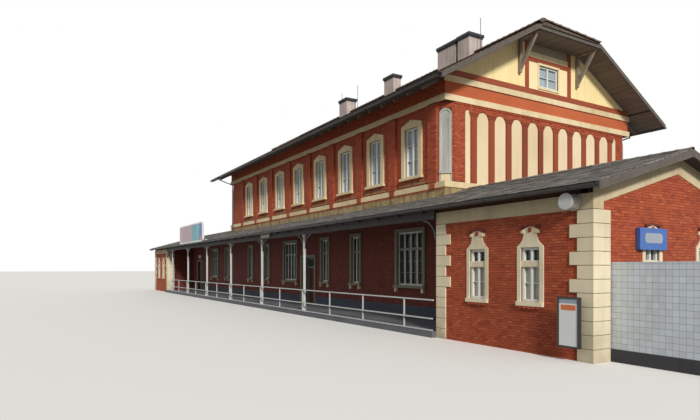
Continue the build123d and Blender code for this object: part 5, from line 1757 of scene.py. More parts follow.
@dataclass
class TiledRoof:
    """The tiles and slates of every slope, with their ridge and hip caps."""

    yard: Yard
    tile: Span = (0.15, 0.165)
    slate: Span = (0.15, 0.115)
    thickness: float = 0.009
    lap: float = 1.35
    least: float = 0.02
    side_gap: float = 0.004
    lift_share: float = 0.9
    tilt_share: float = 0.8
    tile_wander: float = 0.012
    slate_wander: float = 0.03
    first_seed: int = 5
    cap_pitch: float = 0.19
    cap_overlap: float = 1.06
    cap_parts: int = 10
    cap_wall: float = 0.008
    cap_height: float = 0.75
    cap_sink: float = 0.2
    cap_rings: tuple[Span, ...] = ((0.0, 1.0), (0.8, 0.94), (0.8, 1.08), (1.0, 1.12))
    main_cap: float = 0.075
    main_lift: float = 1.2
    low_cap: float = 0.04
    low_lift: float = 0.004

    def cover(self, name: str, slopes: Sequence[Slope], size: Span, material: bpy.types.Material,
              slot: str, wander: float) -> None:
        """Covers slopes with tiles in broken courses.

        Args:
            name: Name of the piece.
            slopes: The slopes.
            size: Width of a tile and the part of its length that shows.
            material: The finish.
            slot: Name of a finish slot, handed on to show.
            wander: Random turn of each tile in radians.
        """
        made = []
        width, shown = size
        for number, slope in enumerate(slopes):
            places = []
            sizes = []
            rows = max(1, round(slope.length / shown))
            step = slope.length / rows
            for row in range(rows):
                v = (row + 0.5) * step
                low, high = slope.limits(v)
                shift = (row % 2) * width / 2
                middle = v - step * (self.lap - 1) / 2
                for column in range(math.floor((low - shift) / width), math.ceil((high - shift) / width)):
                    a = max(low, column * width + shift)
                    b = min(high, (column + 1) * width + shift)
                    if b - a > self.least:
                        places.append(((a + b) / 2, middle, self.thickness * self.lift_share))
                        sizes.append((b - a - self.side_gap, 1.0, 1.0))
            tilt = -math.asin(self.thickness * self.tilt_share / step)
            carrier = self.yard.points(name, places, size=sizes)
            made.append(self.yard.covering.grow(f"{name}_{number}", carrier, slope.matrix(), {
                "Tile Length": step * self.lap, "Thickness": self.thickness, "Tilt": tilt, "Wander": wander,
                "Seed": self.first_seed + number, "Material": material}))
        self.yard.show(self.yard.join(name, made), slot)

    def main_slopes(self) -> list[Slope]:
        """The two long slopes of the main roof."""
        plan = self.yard.plan
        run = plan.half_depth + plan.overhang
        angle = math.atan(plan.roof_pitch)
        length = run / math.cos(angle)
        reach = plan.half_length + plan.overhang
        hip_start = (run - (plan.ridge_z - plan.hip_eave_z) / plan.roof_pitch) / math.cos(angle)

        def limits(v: float) -> Span:
            """The stretch of a course between the verges or the hips."""
            over = max(0.0, v - hip_start) / (length - hip_start)
            return (-reach + plan.hip_run * over, reach - plan.hip_run * over)

        return [Slope(0.0, sign * run, plan.eave_z, 90.0 + sign * 90.0, angle, length, limits)
                for sign in (-1, 1)]

    def hip_slopes(self) -> list[Slope]:
        """The two half-hips."""
        plan = self.yard.plan
        rise = plan.ridge_z - plan.hip_eave_z
        angle = math.atan2(rise, plan.hip_run)
        length = math.hypot(rise, plan.hip_run)
        half = rise / plan.roof_pitch
        reach = plan.half_length + plan.overhang

        def limits(v: float) -> Span:
            """The stretch of a course between the two hips."""
            return (-half * (1 - v / length), half * (1 - v / length))

        return [Slope(side * reach, 0.0, plan.hip_eave_z, side * 90.0, angle, length, limits)
                for side in (1, -1)]

    def low_slopes(self) -> dict[str, list[Slope]]:
        """The slopes of the canopy and the wings, by piece."""
        plan = self.yard.plan
        angle = math.atan(plan.low_pitch)
        eave = plan.low_roof(plan.low_eave_y)
        short = plan.low_eave / math.cos(angle)
        long = (plan.low_eave + plan.low_ridge) / math.cos(angle)
        half = plan.half_length
        right = plan.right_end + plan.low_verge
        left = plan.left_end - plan.low_verge

        def slope(y: float, turn: float, length: float, start: float, end: float) -> Slope:
            """A slope whose limits don't change on the way up."""
            return Slope(0.0, y, eave, turn, angle, length, lambda v: (start, end))

        front = plan.low_eave_y
        back = plan.low_back_y
        return {
            "canopy_slates": [slope(front, 0.0, short, -half, half)],
            "wing_slates_platform": [slope(front, 0.0, long, half, right),
                                     slope(front, 0.0, long, left, -half)],
            "wing_slates_street": [slope(back, 180.0, long, -right, -half),
                                   slope(back, 180.0, long, half, -left)],
        }

    def ridge_tile(self, length: float, radius: float) -> bpy.types.Object:
        """A half-round cap with a raised socket at one end, along the X axis."""
        parts = self.cap_parts
        wall = self.cap_wall
        vertices = []
        for along, out in self.cap_rings:
            x = length * along
            for part in range(parts + 1):
                angle = math.pi * part / parts
                outer = radius * out
                vertices.append((x, outer * math.cos(angle), outer * math.sin(angle) * self.cap_height))
            for part in range(parts, -1, -1):
                angle = math.pi * part / parts
                inner = radius * out - wall
                vertices.append((x, inner * math.cos(angle),
                                 inner * math.sin(angle) * self.cap_height - wall * self.cap_sink))
        around = 2 * (parts + 1)
        faces = [list(range(around - 1, -1, -1)), [len(vertices) - around + i for i in range(around)]]
        for ring in range(len(self.cap_rings) - 1):
            for i in range(around):
                near = ring * around + i
                far = ring * around + (i + 1) % around
                faces.append([near, far, far + around, near + around])
        return solid("ridge_tile", vertices, faces)

    def cap_line(self, start: Vector, end: Vector) -> tuple[list, list]:
        """Places and turns of caps along a line."""
        line = end - start
        count = max(1, round(line.length / self.cap_pitch))
        turn = (0.0, -math.atan2(line.z, math.hypot(line.x, line.y)), math.atan2(line.y, line.x))
        return [tuple(start + line * (i / count)) for i in range(count)], [turn] * count

    def build_caps(self) -> None:
        """Builds the ridge and hip caps of all roofs."""
        plan = self.yard.plan
        f = self.yard.finishes
        reach = plan.half_length + plan.overhang
        inner = reach - plan.hip_run
        top = plan.ridge_z
        hip_y = (top - plan.hip_eave_z) / plan.roof_pitch
        lines = [(Vector((-inner, 0, top)), Vector((inner, 0, top)))]
        for sx in (-1, 1):
            for sy in (-1, 1):
                foot = Vector((sx * reach, sy * hip_y, plan.hip_eave_z))
                lines.append((foot, Vector((sx * inner, 0, top))))
        self.lay_caps("main_ridge_tiles", lines, self.thickness * self.main_lift, self.main_cap, f.tiles,
                      "roof_tiles")
        z = plan.low_roof(plan.low_ridge_y)
        y = plan.low_ridge_y
        low = [(Vector((plan.half_length, y, z)), Vector((plan.right_end + plan.low_verge, y, z))),
               (Vector((plan.left_end - plan.low_verge, y, z)), Vector((-plan.half_length, y, z)))]
        self.lay_caps("wing_ridge_tiles", low, self.low_lift, self.low_cap, f.slates, "grey_slates")

    def lay_caps(self, name: str, lines: Sequence[tuple[Vector, Vector]], lift: float, radius: float,
                 material: bpy.types.Material, slot: str) -> None:
        """Builds the caps along several lines as one piece.

        Args:
            name: Name of the piece.
            lines: Start and end of each line.
            lift: Height of the caps over the lines.
            radius: Radius of a cap.
            material: The finish.
            slot: Name of a finish slot, handed on to show.
        """
        places = []
        turns = []
        raised = Vector((0, 0, lift))
        for start, end in lines:
            found = self.cap_line(start + raised, end + raised)
            places += found[0]
            turns += found[1]
        cap = self.ridge_tile(self.cap_pitch * self.cap_overlap, radius)
        self.yard.copy_out(name, cap, places, turns, material, slot)

    def build(self) -> None:
        """Builds every covering."""
        f = self.yard.finishes
        for name, slope in zip(("platform_roof_tiles", "street_roof_tiles"), self.main_slopes()):
            self.cover(name, [slope], self.tile, f.tiles, "roof_tiles", self.tile_wander)
        self.cover("half_hip_tiles", self.hip_slopes(), self.tile, f.tiles, "roof_tiles", self.tile_wander)
        for name, slopes in self.low_slopes().items():
            self.cover(name, slopes, self.slate, f.slates, "grey_slates", self.slate_wander)
        self.build_caps()


@dataclass
class Eaves:
    """Boards, rafters and gutter straps under the roofs."""

    yard: Yard
    board: float = 0.07
    gap: float = 0.006
    thickness: float = 0.012
    edge_gap: float = 0.01
    first_seed: int = 3
    rafter_pitch: float = 0.47
    rafter: Span = (0.05, 0.06)
    rafter_inset: float = 0.03
    canopy_pitch: float = 0.687
    canopy_rafter: Span = (0.045, 0.055)
    canopy_inset: float = 0.02
    fringe: Span = (0.3, 0.4)
    gutter_radius: float = 0.0475
    gutter_reach: float = 0.045
    gutter_drop: float = 0.045
    low_gutter_drop: float = 0.0225
    strap_half: float = 0.008
    strap_thickness: float = 0.004
    strap_parts: int = 8
    main_straps: int = 20
    low_straps: int = 37

    def boards(self, start: float, length: float, low: float, high: float) -> list[Block]:
        """Boards side by side up a slope's underside, in the slope's own plane."""
        pitch = self.board + self.gap
        size = (length, self.board, self.thickness)
        return [Block((start + length / 2, low + (i + 0.5) * pitch, 0.0), size)
                for i in range(int((high - low) / pitch))]

    def place_boards(self, name: str, parts: Sequence[tuple[Slope, float, Sequence[Block]]],
                     material: bpy.types.Material) -> None:
        """Builds boards that lie a given drop under slopes.

        Args:
            name: Name of the piece.
            parts: Each slope, its drop square to it and the boards.
            material: The finish.
        """
        made = []
        for number, (slope, drop, blocks) in enumerate(parts):
            carrier = self.yard.points(name, [b.middle for b in blocks], size=[b.size for b in blocks])
            matrix = slope.matrix() @ Matrix.Translation((0, 0, -drop))
            made.append(self.yard.blocks.grow(f"{name}_{number}", carrier, matrix, {
                "Wander": 0.0, "Seed": number + self.first_seed, "Material": material}))
        self.yard.show(self.yard.join(name, made), "brown_timber")

    def build_main(self, roof: TiledRoof) -> None:
        """Boards the underside of the main roof's overhang, with rafter tails at the eaves."""
        plan = self.yard.plan
        slopes = roof.main_slopes()
        angle = slopes[0].angle
        under = plan.roof_thickness * math.cos(angle) + self.thickness / 2
        shift = plan.roof_thickness * math.sin(angle)
        reach = plan.half_length + plan.overhang
        eave = plan.overhang / math.cos(angle)
        run = (plan.half_depth + plan.overhang) / math.cos(angle)
        hip_start = run - (plan.ridge_z - plan.hip_eave_z) / plan.roof_pitch / math.cos(angle)
        parts = []
        for slope in slopes:
            rows = self.boards(-reach, 2 * reach, shift + self.edge_gap, eave + shift)
            for start in (-reach, plan.half_length):
                rows += self.boards(start, plan.overhang, eave + shift, hip_start + shift)
            parts.append((slope, under, rows))
        self.place_boards("eave_soffit_boards", parts, self.yard.finishes.soffit)
        width, depth = self.rafter
        count = int(2 * plan.half_length / self.rafter_pitch)
        first = -count * self.rafter_pitch / 2
        row = [Block((first + i * self.rafter_pitch, shift + eave / 2, -depth / 2),
                     (width, eave - self.rafter_inset, depth)) for i in range(count + 1)]
        tails = [(slope, under + self.thickness / 2, row) for slope in slopes]
        self.place_boards("rafter_tails", tails, self.yard.finishes.soffit)

    def build_canopy(self, roof: TiledRoof) -> None:
        """Boards and rafters under the canopy and the wings' overhang to the platform."""
        plan = self.yard.plan
        slope = roof.low_slopes()["canopy_slates"][0]
        cosine = math.cos(slope.angle)
        drop = plan.low_thickness * cosine
        right = plan.right_end + plan.low_verge
        left = plan.left_end - plan.low_verge
        width, depth = self.canopy_rafter
        inner = (plan.low_eave - plan.wing_proud) / cosine
        rows = []
        x = plan.left_pavilion + self.canopy_pitch / 2
        while x < plan.right_pavilion:
            rows.append(Block((x, inner / 2 + self.canopy_inset, -depth / 2),
                              (width, inner - 2 * self.canopy_inset, depth)))
            x += self.canopy_pitch
        self.place_boards("canopy_rafters", [(slope, drop, rows)], self.yard.finishes.eave_boards)
        eave = (plan.low_eave - plan.colonnade) / cosine
        middle, share = self.fringe
        board = Block(((left + right) / 2, eave * middle, -self.thickness / 2),
                      (right - left, eave * share, self.thickness))
        self.place_boards("canopy_eave_board", [(slope, drop, [board])], self.yard.finishes.eave_boards)

    def strap(self) -> bpy.types.Object:
        """Builds the half-round strap that holds a gutter, about the gutter's middle."""
        parts = self.strap_parts
        vertices = []
        faces = []
        for x in (-self.strap_half, self.strap_half):
            for r in (self.gutter_radius, self.gutter_radius + self.strap_thickness):
                for part in range(parts + 1):
                    angle = math.pi + math.pi * part / parts
                    vertices.append((x, r * math.cos(angle), r * math.sin(angle)))
        ring = parts + 1
        for part in range(parts):
            a, b, c, d = part, ring + part, 2 * ring + part, 3 * ring + part
            faces += [[a, a + 1, b + 1, b], [c, d, d + 1, c + 1], [b, b + 1, d + 1, d], [a, c, c + 1, a + 1]]
        faces += [[0, ring, 3 * ring, 2 * ring], [parts, 2 * ring + parts, 3 * ring + parts, ring + parts]]
        return solid("gutter_strap", vertices, faces)

    def build_gutter_straps(self) -> None:
        """Places the straps along all the gutters."""
        plan = self.yard.plan
        strap = self.strap()
        places = []
        reach = plan.half_length + plan.overhang
        out = plan.half_depth + plan.overhang + self.gutter_reach
        for i in range(self.main_straps):
            x = -reach + (i + 0.5) * 2 * reach / self.main_straps
            places += [(x, sign * out, plan.eave_z - self.gutter_drop) for sign in (-1, 1)]
        left = plan.left_end - plan.low_verge
        right = plan.right_end + plan.low_verge
        low = plan.low_roof(plan.low_eave_y) - self.low_gutter_drop
        for i in range(self.low_straps):
            x = left + (i + 0.5) * (right - left) / self.low_straps
            places.append((x, plan.low_eave_y - self.gutter_reach, low))
        self.yard.copy_out("gutter_straps", strap, places, [(0.0, 0.0, 0.0)] * len(places),
                           self.yard.finishes.dark_metal, "dark_metal")

    def build(self, roof: TiledRoof) -> None:
        """Builds all the eaves."""
        self.build_main(roof)
        self.build_canopy(roof)
        self.build_gutter_straps()


# Gables


@dataclass
class GableDressing:
    """Cover strips on the yellow boarding, the attic window's trim, the flat soffits and the raking bands."""

    yard: Yard
    window_clearance: float = 0.05
    pitch: float = 0.115
    strip: float = 0.014
    proud: float = 0.003
    boarding: float = 0.018
    shortest: float = 0.03
    roof_gap: float = 0.006
    hip_rise: float = 0.3
    post_spacing: float = 1.4
    post_width: float = 0.11
    frame: float = 0.045
    rail_proud: float = 0.04
    stile_proud: float = 0.036
    lintel_top: float = 5.775
    head_board: float = 0.12
    head_proud: float = 0.03
    soffit_z: float = 6.07
    soffit_half: float = 0.915
    soffit_start: float = 0.032
    soffit_rows: int = 6
    soffit_board: float = 0.088
    soffit_gap: float = 0.004
    soffit_thickness: float = 0.014
    raking_depth: float = 0.24
    raking_proud: float = 0.012
    raking_gap: float = 0.004

    def build(self) -> None:
        """Builds the dressing of both gables and of the wings' ends."""
        self.build_strips()
        self.build_trim()
        self.build_soffits()
        self.build_raking_bands()

    def on_gables(self, name: str, blocks: Sequence[Block], material: bpy.types.Material, slot: str) -> None:
        """Builds the same blocks on both gables."""
        self.yard.stack(name, [(self.yard.plan.gable(side), blocks) for side in (1, -1)], material, slot)

    def build_strips(self) -> None:
        """Builds the cover strips, clear of the posts, the window and the field over the lintel."""
        plan = self.yard.plan
        strips = []
        count = int(plan.half_depth / self.pitch)
        post = self.post_spacing / 2
        attic = Opening.ATTIC.value
        low = plan.tie_top
        for i in range(-count, count + 1):
            u = i * self.pitch
            under = min(plan.main_roof(abs(u) + self.strip), plan.hip_eave_z + self.hip_rise)
            top = under - plan.roof_thickness - self.roof_gap
            if top - low < self.shortest or abs(abs(u) - post) < (self.post_width + self.strip) / 2:
                continue
            if abs(u) < attic.width / 2 + self.window_clearance:
                top = attic.sill - self.frame
            elif abs(u) < post:
                top = self.lintel_top
            if top - low > self.shortest:
                strips.append(slab(u - self.strip / 2, u + self.strip / 2, -self.boarding - self.proud,
                                   -self.boarding, low, top))
        self.on_gables("boarding_strips", strips, self.yard.finishes.yellow, "yellow_boards")

    def build_trim(self) -> None:
        """Builds the attic window's frame boards and the head board between the posts."""
        attic = Opening.ATTIC.value
        half = attic.width / 2
        outer = half + self.frame
        top = attic.sill + attic.height
        reach = (self.post_spacing - self.post_width) / 2
        head = self.lintel_top + self.head_board
        trim = [slab(-outer, outer, -self.rail_proud, 0.0, attic.sill - self.frame, attic.sill),
                slab(-outer, outer, -self.rail_proud, 0.0, top, top + self.frame),
                slab(-outer, -half, -self.stile_proud, 0.0, attic.sill, top),
                slab(half, outer, -self.stile_proud, 0.0, attic.sill, top),
                slab(-reach, reach, -self.head_proud, 0.0, self.lintel_top, head)]
        self.on_gables("attic_window_trim", trim, self.yard.finishes.pale_boards, "yellow_boards")

    def build_soffits(self) -> None:
        """Builds the flat boarded soffits under the half-hips."""
        rows = []
        for i in range(self.soffit_rows):
            out = -self.soffit_start - i * (self.soffit_board + self.soffit_gap)
            rows.append(slab(-self.soffit_half, self.soffit_half, out - self.soffit_board, out,
                             self.soffit_z, self.soffit_z + self.soffit_thickness))
        self.on_gables("hip_soffits", rows, self.yard.finishes.soffit, "brown_timber")

    def build_raking_bands(self) -> None:
        """Builds the rendered bands that follow the low roofs' verges on the wings' ends."""
        plan = self.yard.plan
        ridge = plan.low_ridge_y
        top = plan.low_roof(ridge) - plan.low_thickness - self.raking_gap
        reach = ridge - plan.colonnade_y - plan.wing_proud
        foot = top - reach * plan.low_pitch
        deep = self.raking_depth
        outline = [(-reach, foot - deep), (0.0, top - deep), (reach, foot - deep),
                   (reach, foot), (0.0, top), (-reach, foot)]
        pieces = []
        for side in (1, -1):
            place = plan.wing_face(side, "end").matrix() @ Matrix.Translation((side * ridge, 0.0, 0.0))
            pieces.append(prism(f"raking_band_{side}", outline, (-self.raking_proud, 0.0), place,
                                self.yard.finishes.eave_band))
        self.yard.show(self.yard.join("raking_bands", pieces), "quoin_stone")


# Windows and doors


@dataclass
class Windows:
    """Glazing bars, casement rims, transom covers and curtains of all windows."""

    yard: Yard
    bar: float = 0.01
    rim: float = 0.013
    slim_rim: float = 0.005
    bar_set_back: float = 0.004
    bar_clearance: float = 0.006
    cover_inset: float = 0.001
    cover_depth: Span = (0.018, 0.004)
    cover_margin: float = 0.004
    curtain_fold: float = 0.055
    curtain_depth: float = 0.008
    curtain_gap: float = 0.045
    curtain_margin: float = 0.01
    curtain_share: float = 0.98
    columns_per_fold: int = 8

    def transom(self, kind: Opening) -> Span:
        """Foot and head of the bar that splits a window into an upper and a lower row."""
        plan = self.yard.plan
        if kind is Opening.WING:
            return plan.wing_transom
        middle = kind.value.sill + kind.value.height * plan.transom_share
        return (middle - plan.mullion / 2, middle + plan.mullion / 2)

    def rows(self, kind: Opening) -> list[tuple[float, float, int]]:
        """Gives each row of lights as its foot, its head and its number of bars."""
        light = kind.value
        foot = light.sill + self.yard.plan.frame_side
        head = light.sill + light.height - self.yard.plan.frame_side
        if kind in (Opening.UPPER, Opening.ATTIC):
            return [(foot, head, 2 if kind is Opening.UPPER else 1)]
        low, high = self.transom(kind)
        return [(foot, low, 1 if kind is Opening.WING else 2), (high, head, 0)]

    def bars(self, kind: Opening, u: float) -> list[Block]:
        """Gives the glazing bars and casement rims of one window.

        Args:
            kind: The kind of window.
            u: Its middle along the face.

        Returns:
            The blocks.
        """
        plan = self.yard.plan
        light = kind.value
        clear = light.width - 2 * plan.frame_side - light.uprights * plan.mullion
        width = clear / (light.uprights + 1)
        sunk = 0.0 if kind is Opening.ATTIC else plan.reveal
        front = sunk + self.bar_set_back
        back = sunk + plan.frame_depth - self.bar_clearance
        half = light.width / 2 - plan.frame_side
        blocks = []
        rim = self.slim_rim
        if kind in (Opening.GROUND, Opening.WIDE):
            rim = self.rim
            blocks.append(slab(u - half, u + half, sunk, back, *self.transom(kind)))
        for i in range(light.uprights + 1):
            left = u + i * (width + plan.mullion) - half
            right = left + width
            for foot, head, count in self.rows(kind):
                blocks += [slab(left, left + rim, front, back, foot, head),
                           slab(right - rim, right, front, back, foot, head),
                           slab(left, right, front, back, foot, foot + rim),
                           slab(left, right, front, back, head - rim, head)]
                for bar in range(1, count + 1):
                    z = foot + (head - foot) * bar / (count + 1)
                    blocks.append(slab(left, right, front + self.bar_set_back, back,
                                       z - self.bar / 2, z + self.bar / 2))
        return blocks

    def build_bars(self) -> None:
        """Builds the bars: white ones above and outside, grey ones under the canopy."""
        white = []
        grey = []
        f = self.yard.finishes
        for front, u, kind in self.yard.plan.windows():
            painted = grey if kind in (Opening.GROUND, Opening.WIDE) else white
            painted.append((front, self.bars(kind, u)))
        self.yard.stack("glazing_bars_white", white, f.joinery, "white_joinery")
        self.yard.stack("glazing_bars_grey", grey, f.grey_joinery, "white_joinery")

    def build_covers(self) -> None:
        """Builds the rendered covers of the pavilion windows' transoms."""
        plan = self.yard.plan
        low = plan.wing_transom[0] + self.cover_margin
        high = plan.wing_transom[1] - self.cover_margin
        half = Opening.WING.value.width / 2 - self.cover_inset
        front, back = (plan.reveal - depth for depth in self.cover_depth)
        covers = [(face, [slab(u - half, u + half, front, back, low, high)])
                  for face, u, kind in plan.windows() if kind is Opening.WING]
        self.yard.stack("wing_transom_covers", covers, self.yard.finishes.quoin, "quoin_stone")

    def hang(self, name: str, hung: Opening) -> None:
        """Hangs the pleated net curtains of one kind of window as one piece."""
        plan = self.yard.plan
        light = hung.value
        back = plan.reveal + plan.frame_depth + self.curtain_gap
        top = light.sill + light.height - self.curtain_margin
        if hung is Opening.WING:
            top = plan.wing_transom[0]
        height = top - light.sill - self.curtain_margin
        width = light.width * self.curtain_share
        places = []
        turns = []
        for front, u, kind in plan.windows():
            if kind is hung:
                places.append(front.point(u, back, top - height / 2))
                turns.append((0.0, 0.0, math.radians(front.turn)))
        folds = round(width / self.curtain_fold)
        columns = folds * self.columns_per_fold + 1
        carrier = self.yard.points(name, places, turn=turns, size=[(width, 1.0, height)] * len(places))
        piece = self.yard.pleats.grow(name, carrier, Matrix.Identity(4), {
            "Folds": float(folds), "Depth": self.curtain_depth, "Columns": columns, "Seed": 4,
            "Material": self.yard.finishes.curtain})
        self.yard.show(piece, "sign_face")

    def build(self) -> None:
        """Builds the bars, the covers and the curtains."""
        self.build_bars()
        self.build_covers()
        self.hang("upper_curtains", Opening.UPPER)
        self.hang("wing_curtains", Opening.WING)


@dataclass
class Doors:
    """Panels and handles of the door leaves, each on its own leaf."""

    yard: Yard
    panel_rows: tuple[Span, ...] = ((0.105, 0.38), (0.505, 0.955))
    hinge_margin: float = 0.094
    edge_margin: float = 0.08
    sunk: float = 0.007
    field_margin: float = 0.025
    field_proud: float = 0.003
    handle_inset: float = 0.03
    handle_height: float = 0.5

    def build(self) -> None:
        """Builds the fittings of the four hinged leaves."""
        for side in ("hall", "wing"):
            for hand, sign in (("left", 1), ("right", -1)):
                self.dress(f"{side}_door_{hand}_leaf", f"{side}_{hand}_leaf", sign)

    def dress(self, node: str, body: str, sign: int) -> None:
        """Dresses one leaf.

        Args:
            node: The leaf's node.
            body: The body that it belongs to.
            sign: 1 where the leaf's free edge is to the right.
        """
        low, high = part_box(node)
        floor = self.yard.plan.floor_top
        front = low.y
        edge, hinge = (high.x, low.x) if sign > 0 else (low.x, high.x)
        start, end = sorted((hinge + sign * self.hinge_margin, edge - sign * self.edge_margin))
        inner = self.field_margin
        blocks = []
        for foot, head in self.panel_rows:
            z0 = floor + foot
            z1 = floor + head
            blocks.append(slab(start, end, front, front + self.sunk, z0, z1))
            blocks.append(slab(start + inner, end - inner, front - self.field_proud, front + self.sunk,
                               z0 + inner, z1 - inner))
        face = Front(0.0, 0.0, 0.0)
        f = self.yard.finishes
        self.yard.stack(f"{body}_panels", [(face, blocks)], f.door, "door_timber", body=body)
        x = edge - sign * self.handle_inset
        z = floor + self.handle_height
        lever = [slab(x - 0.011, x + 0.011, front - 0.003, front, z - 0.06, z + 0.05),
                 slab(x - 0.005, x + 0.005, front - 0.024, front - 0.003, z - 0.005, z + 0.005),
                 slab(x - 0.005, x - sign * 0.052, front - 0.03, front - 0.02, z - 0.005, z + 0.005)]
        self.yard.stack(f"{body}_handle", [(face, lever)], f.steel, "grey_metal", body=body)


# Fittings


@dataclass
class Fittings:
    """Post collars, signs, lamps, poster, downpipes and the tiled yard wall."""

    yard: Yard
    collar_drop: float = 0.4
    capital_height: float = 0.06
    sign_rim: float = 0.055
    sign_corner: float = 0.13
    sign_inner_corner: float = 0.085
    box_shift: float = 0.065
    box_z: float = 1.525
    box_size: Span = (0.61, 0.28)
    box_field: Span = (0.4, 0.13)
    poster_rim: float = 0.022
    beam_face: float = 0.095
    board_set_back: float = 0.1
    door_plate_proud: float = 0.015
    pipe_radius: float = 0.022
    pipe_x: float = 6.1
    pipe_wall_gap: float = 0.075
    gutter_reach: float = 0.045
    tile_pitch: float = 0.075
    tile_joint: float = 0.003
    tile_proud: float = 0.003
    tile_wander: float = 0.0006

    def build(self) -> None:
        """Builds all the fittings."""
        self.build_posts()
        self.build_canopy_sign()
        self.build_small_signs()
        self.build_poster()
        self.build_drum()
        self.build_pipes()
        self.build_wall_tiles()

    def build_posts(self) -> None:
        """Builds the base, collar and capital of each canopy post."""
        plan = self.yard.plan
        low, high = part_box("canopy_posts")
        base = [(0.075, 0.0), (0.075, 0.012), (0.055, 0.02), (0.05, 0.06), (0.036, 0.075)]
        collar = [(0.036, 0.0), (0.046, 0.006), (0.046, 0.018), (0.036, 0.026)]
        capital = [(0.036, 0.0), (0.05, 0.02), (0.052, 0.035), (0.062, 0.05), (0.062, self.capital_height)]
        for name, profile, z in (("base", base, low.z), ("collar", collar, high.z - self.collar_drop),
                                 ("capital", capital, high.z - self.capital_height)):
            places = [(x, plan.colonnade_y, z) for x in plan.posts]
            self.yard.copy_out(f"post_{name}s", turned(f"post_{name}", profile), places,
                               [(0.0, 0.0, 0.0)] * len(places), self.yard.finishes.grey_metal, "grey_metal")

    def plate(self, name: str, outline: Sequence[Span], matrix: Matrix, depth: Span,
              material: bpy.types.Material) -> None:
        """Builds one flat plate on a face."""
        self.yard.show(prism(name, outline, depth, matrix, material), "sign_face")

    @staticmethod
    def front_of(box: tuple[Vector, Vector]) -> tuple[Matrix, float, float]:
        """Gives the middle of a box's platform face, its width and its height."""
        low, high = box
        middle = Matrix.Translation(((low.x + high.x) / 2, low.y, (low.z + high.z) / 2))
        return middle, high.x - low.x, high.z - low.z

    def build_canopy_sign(self) -> None:
        """Builds the sign board's frame and its plain coloured fields."""
        face, length, height = self.front_of(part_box("canopy_sign"))
        f = self.yard.finishes
        width = length - 2 * self.sign_rim
        tall = height - 2 * self.sign_rim
        outer = rounded(length, height, self.sign_corner)
        inner = rounded(width, tall, self.sign_inner_corner)
        self.ring("sign_frame", outer, inner, face, (-0.012, 0.0), f.sign_white)
        fields = (("sign_field_rose", -0.5, 0.06, f.sign_rose), ("sign_field_teal", 0.06, 0.38, f.sign_teal),
                  ("sign_field_blue", 0.38, 0.5, f.sign_blue))
        for name, start, end, material in fields:
            self.plate(name, box_outline(start * width, end * width, -tall / 2, tall / 2), face,
                       (-0.004, 0.0), material)
        mark = box_outline(0.4 * width, 0.47 * width, -tall / 2 + 0.03, -tall / 2 + 0.14)
        self.plate("sign_mark_orange", mark, face, (-0.007, -0.003), f.sign_orange)

    def ring(self, name: str, outer: Sequence[Span], inner: Sequence[Span], matrix: Matrix, depth: Span,
             material: bpy.types.Material) -> None:
        """Builds a flat ring between two outlines with as many points."""
        count = len(outer)
        vertices = []
        for y in depth:
            for outline in (outer, inner):
                vertices += [matrix @ Vector((u, y, z)) for u, z in outline]
        faces = []
        for i in range(count):
            j = (i + 1) % count
            faces.append([i, j, count + j, count + i])
            faces.append([2 * count + j, 2 * count + i, 3 * count + i, 3 * count + j])
            faces.append([j, i, 2 * count + i, 2 * count + j])
            faces.append([count + i, count + j, 3 * count + j, 3 * count + i])
        self.yard.show(solid(name, vertices, faces, material), "sign_face")

    def build_small_signs(self) -> None:
        """Builds the faces of the box sign, the pier's board, the beam's sign and the door's plate."""
        plan = self.yard.plan
        f = self.yard.finishes
        _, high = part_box("small_signs")
        turn = Matrix.Rotation(math.radians(90), 4, "Z")
        centre = Matrix.Translation((high.x, plan.facade_y - self.box_shift, self.box_z)) @ turn
        self.plate("box_sign_face", rounded(*self.box_size, 0.02), centre, (-0.006, 0.0), f.sign_blue)
        raised = centre @ Matrix.Translation((0.0, 0.0, 0.01))
        self.plate("box_sign_field", rounded(*self.box_field, 0.05), raised, (-0.009, -0.005), f.sign_grey)
        pier = Front(plan.right_pavilion, plan.colonnade_y + self.board_set_back, 0.0)
        beam = Front(plan.hall_door[0], plan.colonnade_y - self.beam_face, 0.0)
        door = Front(plan.wing_door[0], plan.facade_y - self.door_plate_proud, 0.0)
        for name, front, block, material in (
                ("pier_board", pier, slab(-0.11, 0.0, -0.006, 0.0, 1.175, 1.625), f.sign_yellow),
                ("beam_sign", beam, slab(-0.3, 0.3, -0.006, 0.0, 1.983, 2.103), f.sign_sand),
                ("beam_sign_strip", beam, slab(-0.3, 0.3, -0.01, -0.004, 1.985, 2.02), f.sign_green),
                ("door_plate", door, slab(-0.215, 0.215, -0.006, 0.0, 1.61, 1.76), f.sign_white)):
            self.yard.stack(name, [(front, [block])], material, "sign_face")

    def build_poster(self) -> None:
        """Builds the poster behind the frame: a white sheet with a grey and an orange bar."""
        face, width, height = self.front_of(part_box("poster_case"))
        f = self.yard.finishes
        wide = width - 2 * self.poster_rim
        tall = height - 2 * self.poster_rim
        for name, low, high, share, depth, material in (
                ("poster_sheet", -0.5, 0.4, 1.0, (0.008, 0.0125), f.sign_white),
                ("poster_head", 0.4, 0.5, 1.0, (0.008, 0.0125), f.sign_grey),
                ("poster_bar", 0.26, 0.37, 0.78, (0.006, 0.01), f.sign_orange)):
            half = wide * share / 2
            self.plate(name, box_outline(-half, half, low * tall, high * tall), face, depth, material)

